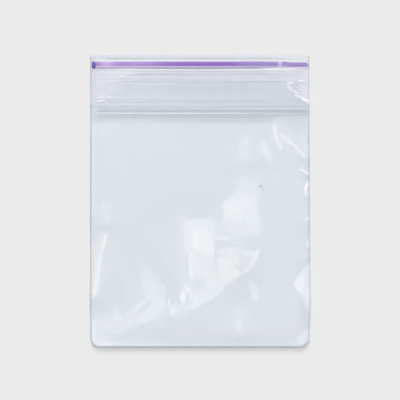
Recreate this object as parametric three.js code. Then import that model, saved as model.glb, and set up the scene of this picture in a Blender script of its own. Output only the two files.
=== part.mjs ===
// A resealable clear plastic bag, empty, shut and lying flat on its back panel.
// Millimetres, +Z up. X runs along the zip, +Y points to the mouth, and the origin is the centre of the
// bag's outline on the surface that it lies on. The shut bag is one closed body of film and trapped air,
// thin at its sealed edges, and the parts of the zip lie in a flat bed across its head.
import * as THREE from "three";

// ---- driving dimensions -------------------------------------------------------------------------------
const BAG_WIDTH = 150; // across the side seals
const BAG_LENGTH = 200.5; // bottom fold to the edge of the mouth
const BOTTOM_CORNER_RADIUS = 6.2;
const MOUTH_CORNER_RADIUS = 1.6;

// The pouch below the zip.
const SEAL_THICKNESS = 0.6; // both panels welded together, with the curl of the film
const SEAL_WIDTH = 2; // welded strip along each side
const BOTTOM_FOLD_THICKNESS = 1.3; // the bottom is folded, not welded, so it stands higher
const BOTTOM_FOLD_WIDTH = 8;
const PUFF = 2.4; // air left between the panels
const PUFF_RUN = 26; // distance from a seal over which the front panel rises to that height
const POUCH_HEAD_THICKNESS = 1.5; // where the pouch meets the zip

// One long soft fold of the front panel, from the bottom left corner up to the right.
const FOLD_START = [-53, -84];
const FOLD_END = [40, -36];
const FOLD_HEIGHT = 2.4;
const FOLD_UPPER_RUN = 30; // its long slope, on the mouth's side
const FOLD_LOWER_RUN = 11; // its short slope, on the bottom's side
const FOLD_FADE = 0.4; // share of its length over which it rises and sinks again

// The head of the bag, each strip measured across it, from the edge of the mouth down.
const LIP_DEPTH = 4.5; // clear film above the coloured track
const COLOURED_BED_DEPTH = 5.5;
const BAND_DEPTH = 27.1; // ribbed grip band
const CLEAR_BED_DEPTH = 5.5;
const BACK_LIP_THICKNESS = 0.5;
const FRONT_LIP_THICKNESS = 0.9;
const FRONT_LIP_INSET = 0.8; // the front lip ends this far short of the back lip
const FRONT_LIP_SAG = 3; // and droops this much further at its right end
const FRONT_LIP_SAG_LENGTH = 32;
const BED_THICKNESS = 0.5; // film under the zip
const GAP = 0.3; // free space between neighbouring pieces
const STEP_RUN = 0.1; // draft of each step in the film

// The zip: a coloured track, a grip band and a clear track.
const TRACK_WIDTH = 4.3;
const COLOURED_TRACK_TOP = 2.6; // its highest point above the surface
const CLEAR_TRACK_TOP = 2.1;
const TRACK_GROOVE = 0.25; // depth of the groove between a track's two rails
const BULB_LENGTH = 4; // melted bead where the side seal crushed the coloured track's left end
const BULB_WIDTH = 5.3;
const CRUSHED_LENGTH = 18; // flattened stretch at its right end
const CRUSH_DEPTH = 0.6;
const CRUSH_SHIFT = 0.45; // it also bends towards the bottom there
const TRACK_END_INSET = 0.4;
const CLEAR_TRACK_LEFT_INSET = 3;
const BAND_TOP = 1.5;
const RIB_WIDTH = 1.1;
const RIB_HEIGHT = 0.4;
const RIB_POSITIONS = [3.5, 6.2, 9.2, 20.3, 22.7, 24.8]; // centre of each grip rib below the coloured bed

// Fineness of the mesh.
const COLUMNS = 32;
const CORNER_ROWS = 6;
const POUCH_ROWS = 36;
const TRACK_STEPS = 12; // points over a track's two rails

// ---- levels along Y, from the sizes above ---------------------------------------------------------------
const MOUTH_Y = BAG_LENGTH / 2;
const BOTTOM_Y = -BAG_LENGTH / 2;
const COLOURED_BED_TOP = MOUTH_Y - LIP_DEPTH;
const BAND_TOP_EDGE = COLOURED_BED_TOP - COLOURED_BED_DEPTH;
const BAND_LOW_EDGE = BAND_TOP_EDGE - BAND_DEPTH;
const POUCH_HEAD = BAND_LOW_EDGE - CLEAR_BED_DEPTH;
const COLOURED_TRACK_Y = (COLOURED_BED_TOP + BAND_TOP_EDGE) / 2;
const CLEAR_TRACK_Y = (BAND_LOW_EDGE + POUCH_HEAD) / 2;
const HALF_BAG = BAG_WIDTH / 2;

// 0 below 0, 1 above 1, with a smooth rise between.
const ease = (t) => THREE.MathUtils.smoothstep(t, 0, 1);
const mix = THREE.MathUtils.lerp;

function meshGeometry(positions, index) {
  const geometry = new THREE.BufferGeometry();
  geometry.setAttribute("position", new THREE.Float32BufferAttribute(positions, 3));
  geometry.setIndex(index);
  geometry.computeVertexNormals();
  return geometry;
}

// ---- the film -------------------------------------------------------------------------------------------
// Half of the bag's width at level y: straight sides, with an arc at each corner.
function halfWidth(y) {
  const arcCut = (radius, distance) => {
    const short = Math.max(0, radius - distance);
    return radius - Math.sqrt(radius ** 2 - short ** 2);
  };
  return HALF_BAG - arcCut(BOTTOM_CORNER_RADIUS, y - BOTTOM_Y) - arcCut(MOUTH_CORNER_RADIUS, MOUTH_Y - y);
}

// Rise of the long fold at (x, y): a ridge with one long and one short slope, sunk at both ends.
function foldRise(x, y) {
  const [startX, startY] = FOLD_START;
  const along = [FOLD_END[0] - startX, FOLD_END[1] - startY];
  const length = Math.hypot(...along);
  const share = ((x - startX) * along[0] + (y - startY) * along[1]) / length ** 2;
  const aside = (along[0] * (y - startY) - along[1] * (x - startX)) / length;
  const run = aside > 0 ? FOLD_UPPER_RUN : FOLD_LOWER_RUN;
  const ends = ease(share / FOLD_FADE) * ease((1 - share) / FOLD_FADE);
  return FOLD_HEIGHT * ease(1 - Math.abs(aside) / run) * ends;
}

// Height of the front panel at (x, y).
function panelHeight(x, y) {
  const fromSide = halfWidth(y) - Math.abs(x) - SEAL_WIDTH;
  const fromBottom = y - BOTTOM_Y;
  const fromHead = POUCH_HEAD - y;
  const edge = mix(BOTTOM_FOLD_THICKNESS, SEAL_THICKNESS, ease(fromBottom / BOTTOM_FOLD_WIDTH));
  const head = (POUCH_HEAD_THICKNESS - SEAL_THICKNESS) * (1 - ease(fromHead / PUFF_RUN));
  const inside = ease(fromSide / PUFF_RUN) * ease(fromBottom / PUFF_RUN);
  const puff = PUFF * ease(fromHead / PUFF_RUN) + foldRise(x, y);
  return edge + head + inside * puff;
}

// The front lip's edge at x.
function frontLipEdge(x) {
  const sag = FRONT_LIP_SAG * ease((x - HALF_BAG + FRONT_LIP_SAG_LENGTH) / FRONT_LIP_SAG_LENGTH);
  return MOUTH_Y - FRONT_LIP_INSET - sag;
}

// A row of the film's upper face: the level that sets its width, its y at x, and its height at (x, y).
const straightRow = (level, height) => ({ level, y: () => level, height: () => height });
const panelRow = (level) => ({ level, y: () => level, height: panelHeight });

function filmRows() {
  const rows = [];
  for (let i = 0; i < CORNER_ROWS; i++) {
    const turn = (i / CORNER_ROWS) * (Math.PI / 2);
    rows.push(panelRow(BOTTOM_Y + BOTTOM_CORNER_RADIUS * (1 - Math.cos(turn))));
  }
  for (let i = 0; i <= POUCH_ROWS; i++) {
    rows.push(panelRow(mix(BOTTOM_Y + BOTTOM_CORNER_RADIUS, POUCH_HEAD, i / POUCH_ROWS)));
  }
  const lipEdgeLevel = MOUTH_Y - MOUTH_CORNER_RADIUS;
  rows.push(
    straightRow(POUCH_HEAD + STEP_RUN, BED_THICKNESS),
    straightRow(COLOURED_BED_TOP - STEP_RUN, BED_THICKNESS),
    straightRow(COLOURED_BED_TOP, FRONT_LIP_THICKNESS),
    { level: lipEdgeLevel, y: frontLipEdge, height: () => FRONT_LIP_THICKNESS },
    { level: lipEdgeLevel, y: (x) => frontLipEdge(x) + STEP_RUN, height: () => BACK_LIP_THICKNESS },
    straightRow(MOUTH_Y - MOUTH_CORNER_RADIUS * (1 - Math.SQRT1_2), BACK_LIP_THICKNESS),
    straightRow(MOUTH_Y, BACK_LIP_THICKNESS),
  );
  return rows;
}

// The film as one closed body: a grid of heights over a flat back panel, with a wall round the outline.
function filmGeometry() {
  const rows = filmRows();
  const across = COLUMNS + 1;
  const positions = [];
  for (const top of [true, false]) {
    for (const row of rows) {
      for (let i = 0; i < across; i++) {
        const x = halfWidth(row.level) * mix(-1, 1, i / COLUMNS);
        const y = row.y(x);
        positions.push(x, y, top ? row.height(x, y) : 0);
      }
    }
  }
  const index = [];
  for (let j = 0; j + 1 < rows.length; j++) {
    for (let i = 0; i < COLUMNS; i++) {
      const a = j * across + i;
      index.push(a, a + 1, a + across + 1, a, a + across + 1, a + across);
    }
  }
  const lastRow = (rows.length - 1) * across;
  const outline = [];
  for (let i = 0; i < COLUMNS; i++) outline.push(i);
  for (let j = 0; j + 1 < rows.length; j++) outline.push(j * across + COLUMNS);
  for (let i = COLUMNS; i > 0; i--) outline.push(lastRow + i);
  for (let j = rows.length - 1; j > 0; j--) outline.push(j * across);
  const under = rows.length * across; // offset from a point on the upper face to the one below it
  const centre = positions.length / 3;
  positions.push(0, 0, 0);
  outline.forEach((a, k) => {
    const b = outline[(k + 1) % outline.length];
    index.push(a, a + under, b + under, a, b + under, b, centre, b + under, a + under);
  });
  return meshGeometry(positions, index);
}

// ---- the zip --------------------------------------------------------------------------------------------
// A track's section as [y, z] points, from its edge on the mouth's side over both rails and back underneath.
function trackSection(centreY, width, top) {
  const floor = BED_THICKNESS + GAP;
  const points = [];
  for (let i = 0; i <= TRACK_STEPS; i++) {
    const turn = mix(0, Math.PI, i / TRACK_STEPS);
    const side = Math.cos(turn);
    const groove = TRACK_GROOVE * ease(1 - Math.abs(side) * 3);
    const rise = mix(0.4, 1, Math.sin(turn)) * (top - floor) - groove;
    points.push([centreY + (side * width) / 2, floor + rise]);
  }
  points.push([centreY - width / 2, floor], [centreY + width / 2, floor]);
  return points;
}

// A closed bar along X through the section at each station. A section's points turn from +Y to +Z.
function loftAlongX(stations, section) {
  const positions = [];
  const index = [];
  const rings = stations.map((x) => section(x));
  const count = rings[0].length;
  rings.forEach((ring, k) => ring.forEach(([y, z]) => positions.push(stations[k], y, z)));
  for (let k = 0; k + 1 < rings.length; k++) {
    for (let i = 0; i < count; i++) {
      const a = k * count + i;
      const b = k * count + ((i + 1) % count);
      index.push(a, b, b + count, a, b + count, a + count);
    }
  }
  const last = (rings.length - 1) * count;
  for (let i = 1; i + 1 < count; i++) {
    index.push(count - 1, i, i - 1, last + count - 1, last + i - 1, last + i);
  }
  return meshGeometry(positions, index);
}

// The coloured track: a melted bulb at its left end, then the rails, and a crushed stretch at its right end.
function colouredTrackGeometry() {
  const left = -HALF_BAG + TRACK_END_INSET;
  const right = HALF_BAG - TRACK_END_INSET;
  const neck = left + BULB_LENGTH * 1.5;
  const stations = [];
  for (let i = 0; i < 9; i++) stations.push(mix(left, neck, i / 9));
  for (let i = 0; i <= 20; i++) stations.push(mix(neck, right, i / 20));
  return loftAlongX(stations, (x) => {
    const offCentre = (x - left) / (BULB_LENGTH / 2) - 1;
    const bulb = BULB_WIDTH * Math.sqrt(Math.max(0.15, 1 - offCentre ** 2));
    const rails = TRACK_WIDTH * ease(offCentre);
    const crush = ease((x - right + CRUSHED_LENGTH) / (CRUSHED_LENGTH / 3));
    const width = Math.max(bulb, rails);
    return trackSection(COLOURED_TRACK_Y - CRUSH_SHIFT * crush, width, COLOURED_TRACK_TOP - CRUSH_DEPTH * crush);
  });
}

// The clear track at the foot of the grip band, short of the left seal.
function clearTrackGeometry() {
  const left = -HALF_BAG + CLEAR_TRACK_LEFT_INSET;
  const right = HALF_BAG - TRACK_END_INSET;
  return loftAlongX([left, 0, right], () => trackSection(CLEAR_TRACK_Y, TRACK_WIDTH, CLEAR_TRACK_TOP));
}

// The grip band: a flat strip with ribs, drawn as a section in (distance below its top edge, height).
function gripBandGeometry() {
  const shape = new THREE.Shape();
  const low = BED_THICKNESS + GAP;
  const halfRib = RIB_WIDTH / 2;
  shape.moveTo(GAP, low);
  shape.lineTo(GAP, BAND_TOP);
  for (const rib of RIB_POSITIONS) {
    shape.lineTo(rib - halfRib, BAND_TOP);
    shape.quadraticCurveTo(rib, BAND_TOP + 2 * RIB_HEIGHT, rib + halfRib, BAND_TOP);
  }
  shape.lineTo(BAND_DEPTH - GAP, BAND_TOP);
  shape.lineTo(BAND_DEPTH - GAP, low);
  shape.closePath();
  const geometry = new THREE.ExtrudeGeometry(shape, { depth: BAG_WIDTH, bevelEnabled: false, curveSegments: 6 });
  // The section's first axis points down the bag, its second up, and the strip runs to the left.
  const down = new THREE.Vector3(0, -1, 0);
  const up = new THREE.Vector3(0, 0, 1);
  const leftward = new THREE.Vector3(-1, 0, 0);
  geometry.applyMatrix4(new THREE.Matrix4().makeBasis(down, up, leftward));
  return geometry.translate(HALF_BAG, BAND_TOP_EDGE, 0);
}

// ---- the bag --------------------------------------------------------------------------------------------
const FILM = { color: 0xdbe2ea, roughness: 0.2, metalness: 0, transparent: true, opacity: 0.4 };
const PURPLE = { color: 0x9477cc, roughness: 0.3, metalness: 0 };
const CLEAR_RAIL = { color: 0xc3cad4, roughness: 0.25, metalness: 0, transparent: true, opacity: 0.6 };

function piece(name, geometry, finish) {
  const mesh = new THREE.Mesh(geometry, new THREE.MeshStandardMaterial(finish));
  mesh.name = name;
  return mesh;
}

const bag = new THREE.Group();
bag.add(
  piece("bag_film", filmGeometry(), FILM),
  piece("zip_track_purple", colouredTrackGeometry(), PURPLE),
  piece("grip_band", gripBandGeometry(), CLEAR_RAIL),
  piece("zip_track_clear", clearTrackGeometry(), CLEAR_RAIL),
);

export default bag;
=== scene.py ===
"""Looks of an empty, shut, resealable plastic bag that lies flat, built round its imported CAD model.

Lengths are written in millimetres and become metres when a mesh is made. X runs along the zip, +Y points to
the bag's mouth and +Z is up, as in the CAD model. The camera looks straight down.
"""

import logging
import math
from dataclasses import dataclass
from enum import Enum

import bpy
import numpy as np
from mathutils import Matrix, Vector


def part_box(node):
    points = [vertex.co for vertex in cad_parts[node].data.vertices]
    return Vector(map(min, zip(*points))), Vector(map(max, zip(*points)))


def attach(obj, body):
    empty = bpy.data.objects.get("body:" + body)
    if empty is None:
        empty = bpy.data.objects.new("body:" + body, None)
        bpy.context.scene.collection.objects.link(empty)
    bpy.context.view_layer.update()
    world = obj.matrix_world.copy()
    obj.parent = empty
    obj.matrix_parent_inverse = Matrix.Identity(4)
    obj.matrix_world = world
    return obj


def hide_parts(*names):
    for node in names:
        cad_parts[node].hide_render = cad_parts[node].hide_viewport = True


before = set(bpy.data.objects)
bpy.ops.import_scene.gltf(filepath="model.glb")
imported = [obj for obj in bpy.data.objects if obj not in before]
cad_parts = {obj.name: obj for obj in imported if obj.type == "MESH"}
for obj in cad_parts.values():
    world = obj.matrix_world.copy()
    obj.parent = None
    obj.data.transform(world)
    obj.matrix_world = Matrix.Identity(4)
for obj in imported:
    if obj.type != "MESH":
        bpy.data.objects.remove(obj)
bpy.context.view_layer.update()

LOG = logging.getLogger("resealable_bag")
MM = 0.001

Socket = bpy.types.NodeSocket
Colour = tuple[float, float, float]
Scale = tuple[float, float, float]  # along X, Y and Z
Point = tuple[float, float]
Corner = tuple[float, float, float]  # a point, and how soft the edge is that starts there
Wave = tuple[float, float, float]  # height, run and start of a sine
# a spot of painted highlight along a track
Spot = tuple[float, float, float]  # place along X, width and tone
Mesh = tuple[np.ndarray, np.ndarray]  # points, and four point numbers for each face


# ---- small helpers ----------------------------------------------------------------------------------------
def ease(t: np.ndarray) -> np.ndarray:
    """Smooth step: 0 below 0, 1 above 1 and 3t² - 2t³ between.

    Args:
        t: any numbers.

    Returns:
        The eased numbers, from 0 to 1.
    """
    t = np.clip(t, 0.0, 1.0)
    return t * t * (3.0 - 2.0 * t)


def bump(offset: np.ndarray, width: float) -> np.ndarray:
    """A bell of height 1 round offset 0: exp(-(offset / half the width)²).

    Args:
        offset: distance from the bell's middle.
        width: its full width, in the unit of offset.

    Returns:
        The bell's height at each offset.
    """
    return np.exp(-((offset / (width / 2.0)) ** 2))


def unit(vectors: np.ndarray) -> np.ndarray:
    """The same vectors at length 1."""
    return vectors / np.linalg.norm(vectors, axis=-1, keepdims=True)


def soft_noise(shape: tuple[int, int], step: float, grain: float, seed: int) -> np.ndarray:
    """Smooth noise of standard deviation 1: white noise whose spectrum is cut by exp(-(frequency · grain)²).

    Args:
        shape: rows and columns.
        step: distance between neighbours, in millimetres.
        grain: size of the blots, in millimetres.
        seed: start of the random draw.

    Returns:
        An array of that shape.
    """
    spectrum = np.fft.rfft2(np.random.default_rng(seed).standard_normal(shape))
    along = np.fft.fftfreq(shape[0], step)[:, None]
    across = np.fft.rfftfreq(shape[1], step)[None, :]
    blots = np.fft.irfft2(spectrum * np.exp(-(along**2 + across**2) * grain**2), s=shape)
    return blots / blots.std()


def placed(name: str, data: bpy.types.ID) -> bpy.types.Object:
    """Makes an object and puts it in the scene.

    Args:
        name: the object's name.
        data: its mesh, light or camera.

    Returns:
        The object.
    """
    thing = bpy.data.objects.new(name, data)
    bpy.context.scene.collection.objects.link(thing)
    return thing


@dataclass(frozen=True)
class Grid:
    """Places on the bag, in millimetres, as rows × columns: even steps along X, and even ones along Y."""

    x: np.ndarray
    y: np.ndarray

    @classmethod
    def over(cls, across: np.ndarray, levels: np.ndarray) -> "Grid":
        """The grid of every place across at every level."""
        return cls(*np.meshgrid(across, levels))

    @property
    def steps(self) -> Point:
        """The step along X and the one along Y, which is negative where the rows run down."""
        return self.x[0, 1] - self.x[0, 0], self.y[1, 0] - self.y[0, 0]

    def slopes(self, height: np.ndarray) -> np.ndarray:
        """Rise of a height along X and along Y, per unit of length, as 2 × rows × columns."""
        step_x, step_y = self.steps
        return np.stack(np.gradient(height, step_y, step_x)[::-1])


# ---- studio ----------------------------------------------------------------------------------------------
@dataclass(frozen=True)
class LampSetting:
    """A distant soft light. Angles are in degrees: zenith from straight up, azimuth from +X towards +Y."""

    zenith: float
    azimuth: float
    spread: float
    strength: float

    @property
    def way(self) -> Vector:
        """Unit vector towards the light."""
        tilt, turn = math.radians(self.zenith), math.radians(self.azimuth)
        return Vector((math.sin(tilt) * math.cos(turn), math.sin(tilt) * math.sin(turn), math.cos(tilt)))


class Lamp(Enum):
    """The studio's lights."""

    KEY = LampSetting(zenith=20.0, azimuth=122.0, spread=18.0, strength=0.8)
    SIDE = LampSetting(zenith=24.0, azimuth=22.0, spread=12.0, strength=0.42)
    LOW = LampSetting(zenith=57.0, azimuth=92.0, spread=34.0, strength=1.56)


@dataclass(frozen=True)
class Studio:
    """Camera, lights and floor: soft lights from above the mouth's side and an even room."""

    view_width: float = 274.6  # millimetres that the square picture is wide, at the bag
    lens: float = 100.0
    sensor: float = 36.0
    near: float = 10.0  # what is nearer to the camera isn't seen
    aim: Point = (0.17, 0.0)
    room: float = 0.37  # strength of its even light
    floor_grey: float = 0.83
    floor_size: float = 6000.0
    film_faces: int = 48  # see-through faces that a ray may cross

    @property
    def camera_height(self) -> float:
        """Height of the camera above the bag, in millimetres."""
        return self.view_width * self.lens / self.sensor

    def glint(self, lamp: Lamp, grid: Grid) -> np.ndarray:
        """Slopes of film that mirrors a lamp into the camera.

        Its normal halves the angle between the way to the light and the way to the camera.

        Args:
            lamp: the light.
            grid: the film's places.

        Returns:
            The slopes along X and along Y, as 2 × rows × columns.
        """
        reach = np.sqrt(grid.x**2 + grid.y**2 + self.camera_height**2)
        way = lamp.value.way
        up = self.camera_height / reach + way.z
        return np.stack([(grid.x / reach - way.x) / up, (grid.y / reach - way.y) / up])

    def build(self) -> None:
        """Makes the camera, the lights, the room and the floor."""
        scene = bpy.context.scene
        scene.view_settings.view_transform = "Standard"
        scene.view_settings.look = "None"
        scene.cycles.transparent_max_bounces = self.film_faces
        scene.camera = self.camera()
        for lamp in Lamp:
            self.light(lamp)
        scene.world = self.even_room()
        self.floor()

    def camera(self) -> bpy.types.Object:
        """Makes the camera, which looks straight down."""
        lens = bpy.data.cameras.new("camera")
        lens.lens = self.lens
        lens.sensor_width = self.sensor
        lens.clip_start = self.near * MM
        camera = placed("camera", lens)
        camera.location = Vector((*self.aim, self.camera_height)) * MM
        return camera

    def light(self, lamp: Lamp) -> None:
        """Makes one light.

        Args:
            lamp: which one.
        """
        light = bpy.data.lights.new(lamp.name.lower(), "SUN")
        light.energy = lamp.value.strength
        light.angle = math.radians(lamp.value.spread)
        placed(light.name, light).rotation_euler = lamp.value.way.to_track_quat("Z", "Y").to_euler()

    def even_room(self) -> bpy.types.World:
        """Makes the even white light all round."""
        world = bpy.data.worlds.new("room")
        world.use_nodes = True
        light = world.node_tree.nodes["Background"].inputs
        light["Color"].default_value = (1.0, 1.0, 1.0, 1.0)
        light["Strength"].default_value = self.room
        return world

    def floor(self) -> bpy.types.Object:
        """Makes the floor, a large square under the bag."""
        half = self.floor_size / 2.0 * MM
        mesh = bpy.data.meshes.new("floor")
        corners = [(-half, -half, 0.0), (half, -half, 0.0), (half, half, 0.0), (-half, half, 0.0)]
        mesh.from_pydata(corners, [], [(0, 1, 2, 3)])
        mesh.materials.append(FloorFinish(self.floor_grey).material())
        return placed("floor", mesh)


# ---- finishes ---------------------------------------------------------------------------------------------
class NodeBoard:
    """A material's node tree with one Principled shader, and short ways to add nodes to it."""

    noise_roughness = 0.55
    noise_middle = (0.3, 0.7)  # nearly all of a noise lies between these
    mix_sockets = (0, 6, 7)  # of the colour mixer: share, first colour, second colour
    mix_result = 2

    def __init__(self, name: str) -> None:
        """Starts an empty material.

        Args:
            name: the material's name.
        """
        self.material = bpy.data.materials.new(name)
        self.material.use_nodes = True
        self.tree = self.material.node_tree
        self.tree.nodes.clear()
        self.shader = self.tree.nodes.new("ShaderNodeBsdfPrincipled")
        output = self.tree.nodes.new("ShaderNodeOutputMaterial")
        self.tree.links.new(self.shader.outputs["BSDF"], output.inputs["Surface"])

    def feed(self, socket: Socket, value: float | tuple[float, ...] | Socket) -> None:
        """Links an input or sets its constant value.

        Args:
            socket: the input.
            value: a number, a vector, a colour or another node's socket.
        """
        if isinstance(value, Socket):
            self.tree.links.new(value, socket)
        elif socket.type == "RGBA":
            socket.default_value = (*value, 1.0)
        else:
            socket.default_value = value

    def use(self, socket: str, value: float | Colour | Socket) -> None:
        """Feeds the shader's input of that name."""
        self.feed(self.shader.inputs[socket], value)

    def add(self, kind: str, inputs: dict[str, float | Scale | Socket], **settings: str) -> bpy.types.Node:
        """Adds a node.

        Args:
            kind: the node's type.
            inputs: an input's name to a value or to another node's socket.
            **settings: the node's own properties.

        Returns:
            The node.
        """
        node = self.tree.nodes.new(kind)
        for key, value in settings.items():
            setattr(node, key, value)
        for key, value in inputs.items():
            self.feed(node.inputs[key], value)
        return node

    def noise(self, scale: Scale, detail: float = 3.0) -> Socket:
        """Noise from 0 to 1 over the bag.

        Args:
            scale: blots per metre along X, Y and Z.
            detail: how many finer layers it has.

        Returns:
            The socket that gives it.
        """
        where = self.add("ShaderNodeTexCoord", {}).outputs["Object"]
        vector = self.add("ShaderNodeMapping", {"Vector": where, "Scale": scale}).outputs["Vector"]
        inputs = {"Vector": vector, "Scale": 1.0, "Detail": detail, "Roughness": self.noise_roughness}
        return self.add("ShaderNodeTexNoise", inputs).outputs["Fac"]

    def span(self, value: Socket, source: Point, target: Point = (0.0, 1.0)) -> Socket:
        """Maps a range to another one, and what lies outside it to the nearer end.

        Args:
            value: what is mapped.
            source: its range.
            target: what the range's two ends become.

        Returns:
            The socket that gives it.
        """
        ends = {"From Min": source[0], "From Max": source[1], "To Min": target[0], "To Max": target[1]}
        return self.add("ShaderNodeMapRange", {"Value": value, **ends}).outputs["Result"]

    def blend(self, share: Socket, first: Colour | Socket, second: Colour | Socket) -> Socket:
        """Mixes two colours.

        Args:
            share: 0 for the first, 1 for the second.
            first: a colour or a socket.
            second: a colour or a socket.

        Returns:
            The socket that gives the mix.
        """
        node = self.add("ShaderNodeMix", {}, data_type="RGBA")
        for number, value in zip(self.mix_sockets, (share, first, second)):
            self.feed(node.inputs[number], value)
        return node.outputs[self.mix_result]

    def relief(self, height: Socket, depth: float) -> None:
        """Gives the surface a fine relief.

        Args:
            height: its height, from 0 to 1.
            depth: real depth of the relief, in millimetres.
        """
        inputs = {"Height": height, "Distance": depth * MM, "Strength": 1.0}
        self.use("Normal", self.add("ShaderNodeBump", inputs).outputs["Normal"])


@dataclass(frozen=True)
class FloorFinish:
    """Plain pale matt floor."""

    grey: float
    roughness: float = 0.9

    def material(self) -> bpy.types.Material:
        """Makes the floor's material."""
        board = NodeBoard("floor_matt")
        board.use("Base Color", (self.grey, self.grey, self.grey))
        board.use("Roughness", self.roughness)
        board.use("Specular IOR Level", 0.0)
        return board.material


@dataclass(frozen=True)
class PlasticFinish:
    """Soft plastic with a cool haze, gloss, fine drawn lines and a mottle; noises in blots per metre.

    The point attribute "tone" runs from -1 to 1. Below 0 the colour goes to the darker one, which paints
    shade on the film and is the own colour of the purple track's melted bulb. Above 0 it goes to the paler
    one, which paints highlights and light; the mottle adds some of the paler colour at random.
    """

    name: str
    cover: float  # how much one face hides
    clear: Colour
    # colours that the tone mixes in: the darker one paints shade, the paler one paints highlights and light
    deep_and_shade: Colour = (0.3, 0.35, 0.5)
    milky_and_highlight: Colour = (0.9, 0.92, 0.98)
    shine: float = 1.0
    refraction: float = 1.6
    roughness: Point = (0.19, 0.27)
    rough_scale: Scale = (220.0, 90.0, 220.0)
    mottle: float = 0.05  # most milkiness that the mottle adds
    mottle_scale: Scale = (60.0, 45.0, 60.0)
    mottle_detail: float = 3.0
    line_scale: Scale = (1600.0, 14.0, 1600.0)
    line_detail: float = 2.0
    line_depth: float = 0.006

    def material(self) -> bpy.types.Material:
        """Makes the plastic's material."""
        board = NodeBoard(self.name)
        tone = board.add("ShaderNodeAttribute", {}, attribute_name="tone").outputs["Fac"]
        # painted shade below tone 0, painted highlights and light above it
        tinted = board.blend(board.span(tone, (0.0, -1.0)), self.clear, self.deep_and_shade)
        tinted = board.blend(board.span(tone, (0.0, 1.0)), tinted, self.milky_and_highlight)
        mottle = board.noise(self.mottle_scale, self.mottle_detail)
        tinted = board.blend(board.span(mottle, board.noise_middle, (0.0, self.mottle)), tinted, self.milky_and_highlight)
        board.use("Base Color", tinted)
        rough = board.noise(self.rough_scale)
        board.use("Roughness", board.span(rough, board.noise_middle, self.roughness))
        board.use("Alpha", self.cover)
        board.use("Specular IOR Level", self.shine)
        board.use("IOR", self.refraction)
        board.relief(board.noise(self.line_scale, self.line_detail), self.line_depth)
        return board.material


# ---- mesh making ------------------------------------------------------------------------------------------
def grid_quads(rows: int, columns: int, first: int = 0, closed: bool = False) -> np.ndarray:
    """Quads between the points of a grid, turned so that columns cross rows counter-clockwise.

    Args:
        rows: rows of points.
        columns: points in a row.
        first: number of the grid's first point.
        closed: True if each row's last point joins its first.

    Returns:
        One row of four point numbers for each quad.
    """
    across = np.arange(columns if closed else columns - 1)
    start = np.arange(rows - 1)[:, None] * columns
    here = (start + across).ravel()
    beside = (start + (across + 1) % columns).ravel()
    return np.stack([here, beside, beside + columns, here + columns], 1) + first


def sheet_shell(points: np.ndarray, thickness: float) -> Mesh:
    """Turns a grid of points into a closed thin sheet, by half of its thickness to each side of the grid.

    The outer wall lies on the side from which rows run down and columns to the right.

    Args:
        points: rows × columns × 3, in millimetres.
        thickness: of the sheet.

    Returns:
        The points and the quads of the closed sheet.
    """
    rows, columns = points.shape[:2]
    normal = unit(np.cross(np.gradient(points, axis=0), np.gradient(points, axis=1)))
    offset = normal * (thickness / 2.0)
    walls = np.concatenate([(points + offset).reshape(-1, 3), (points - offset).reshape(-1, 3)])
    count = rows * columns
    outer = grid_quads(rows, columns)[:, ::-1]
    inner = grid_quads(rows, columns, count)
    number = np.arange(count).reshape(rows, columns)
    rim = np.concatenate([number[0], number[1:, -1], number[-1, -2::-1], number[-2:0:-1, 0]])
    after = np.roll(rim, -1)
    edge = np.stack([rim, after, after + count, rim + count], 1)
    return walls, np.concatenate([outer, inner, edge])


def carried_profile(rings: np.ndarray) -> Mesh:
    """Closes a bar whose section was placed at each station, with a cap on each end.

    Args:
        rings: stations × points × 3; each ring turns counter-clockwise seen from the last station.

    Returns:
        The points and the faces: quads along the bar, and triangles, with a repeated point, on its ends.
    """
    stations, count = rings.shape[:2]
    points = np.concatenate([rings.reshape(-1, 3), rings[0].mean(0)[None], rings[-1].mean(0)[None]])
    here = np.arange(count)
    beside = (here + 1) % count
    first, last = stations * count, stations * count + 1
    over = (stations - 1) * count
    start = np.stack([np.full(count, first), beside, here, here], 1)
    end = np.stack([np.full(count, last), here + over, beside + over, beside + over], 1)
    return points, np.concatenate([grid_quads(stations, count, closed=True), start, end])


def ovals(path: np.ndarray, half: np.ndarray, sides: int) -> tuple[np.ndarray, np.ndarray]:
    """Oval sections round a path that lies in plan, each square to it.

    Args:
        path: stations × 2 points.
        half: half of the section's width at each station.
        sides: points round a section.

    Returns:
        Each point's place in plan, as stations × sides × 2, and the height of each side on a circle of
        radius 1.
    """
    way = unit(np.gradient(path, axis=0))
    beside = np.stack([way[:, 1], -way[:, 0]], -1)
    turn = np.linspace(2.0 * np.pi, 0.0, sides, endpoint=False)
    return path[:, None] + beside[:, None] * (half[:, None] * np.cos(turn))[..., None], np.sin(turn)


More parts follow.
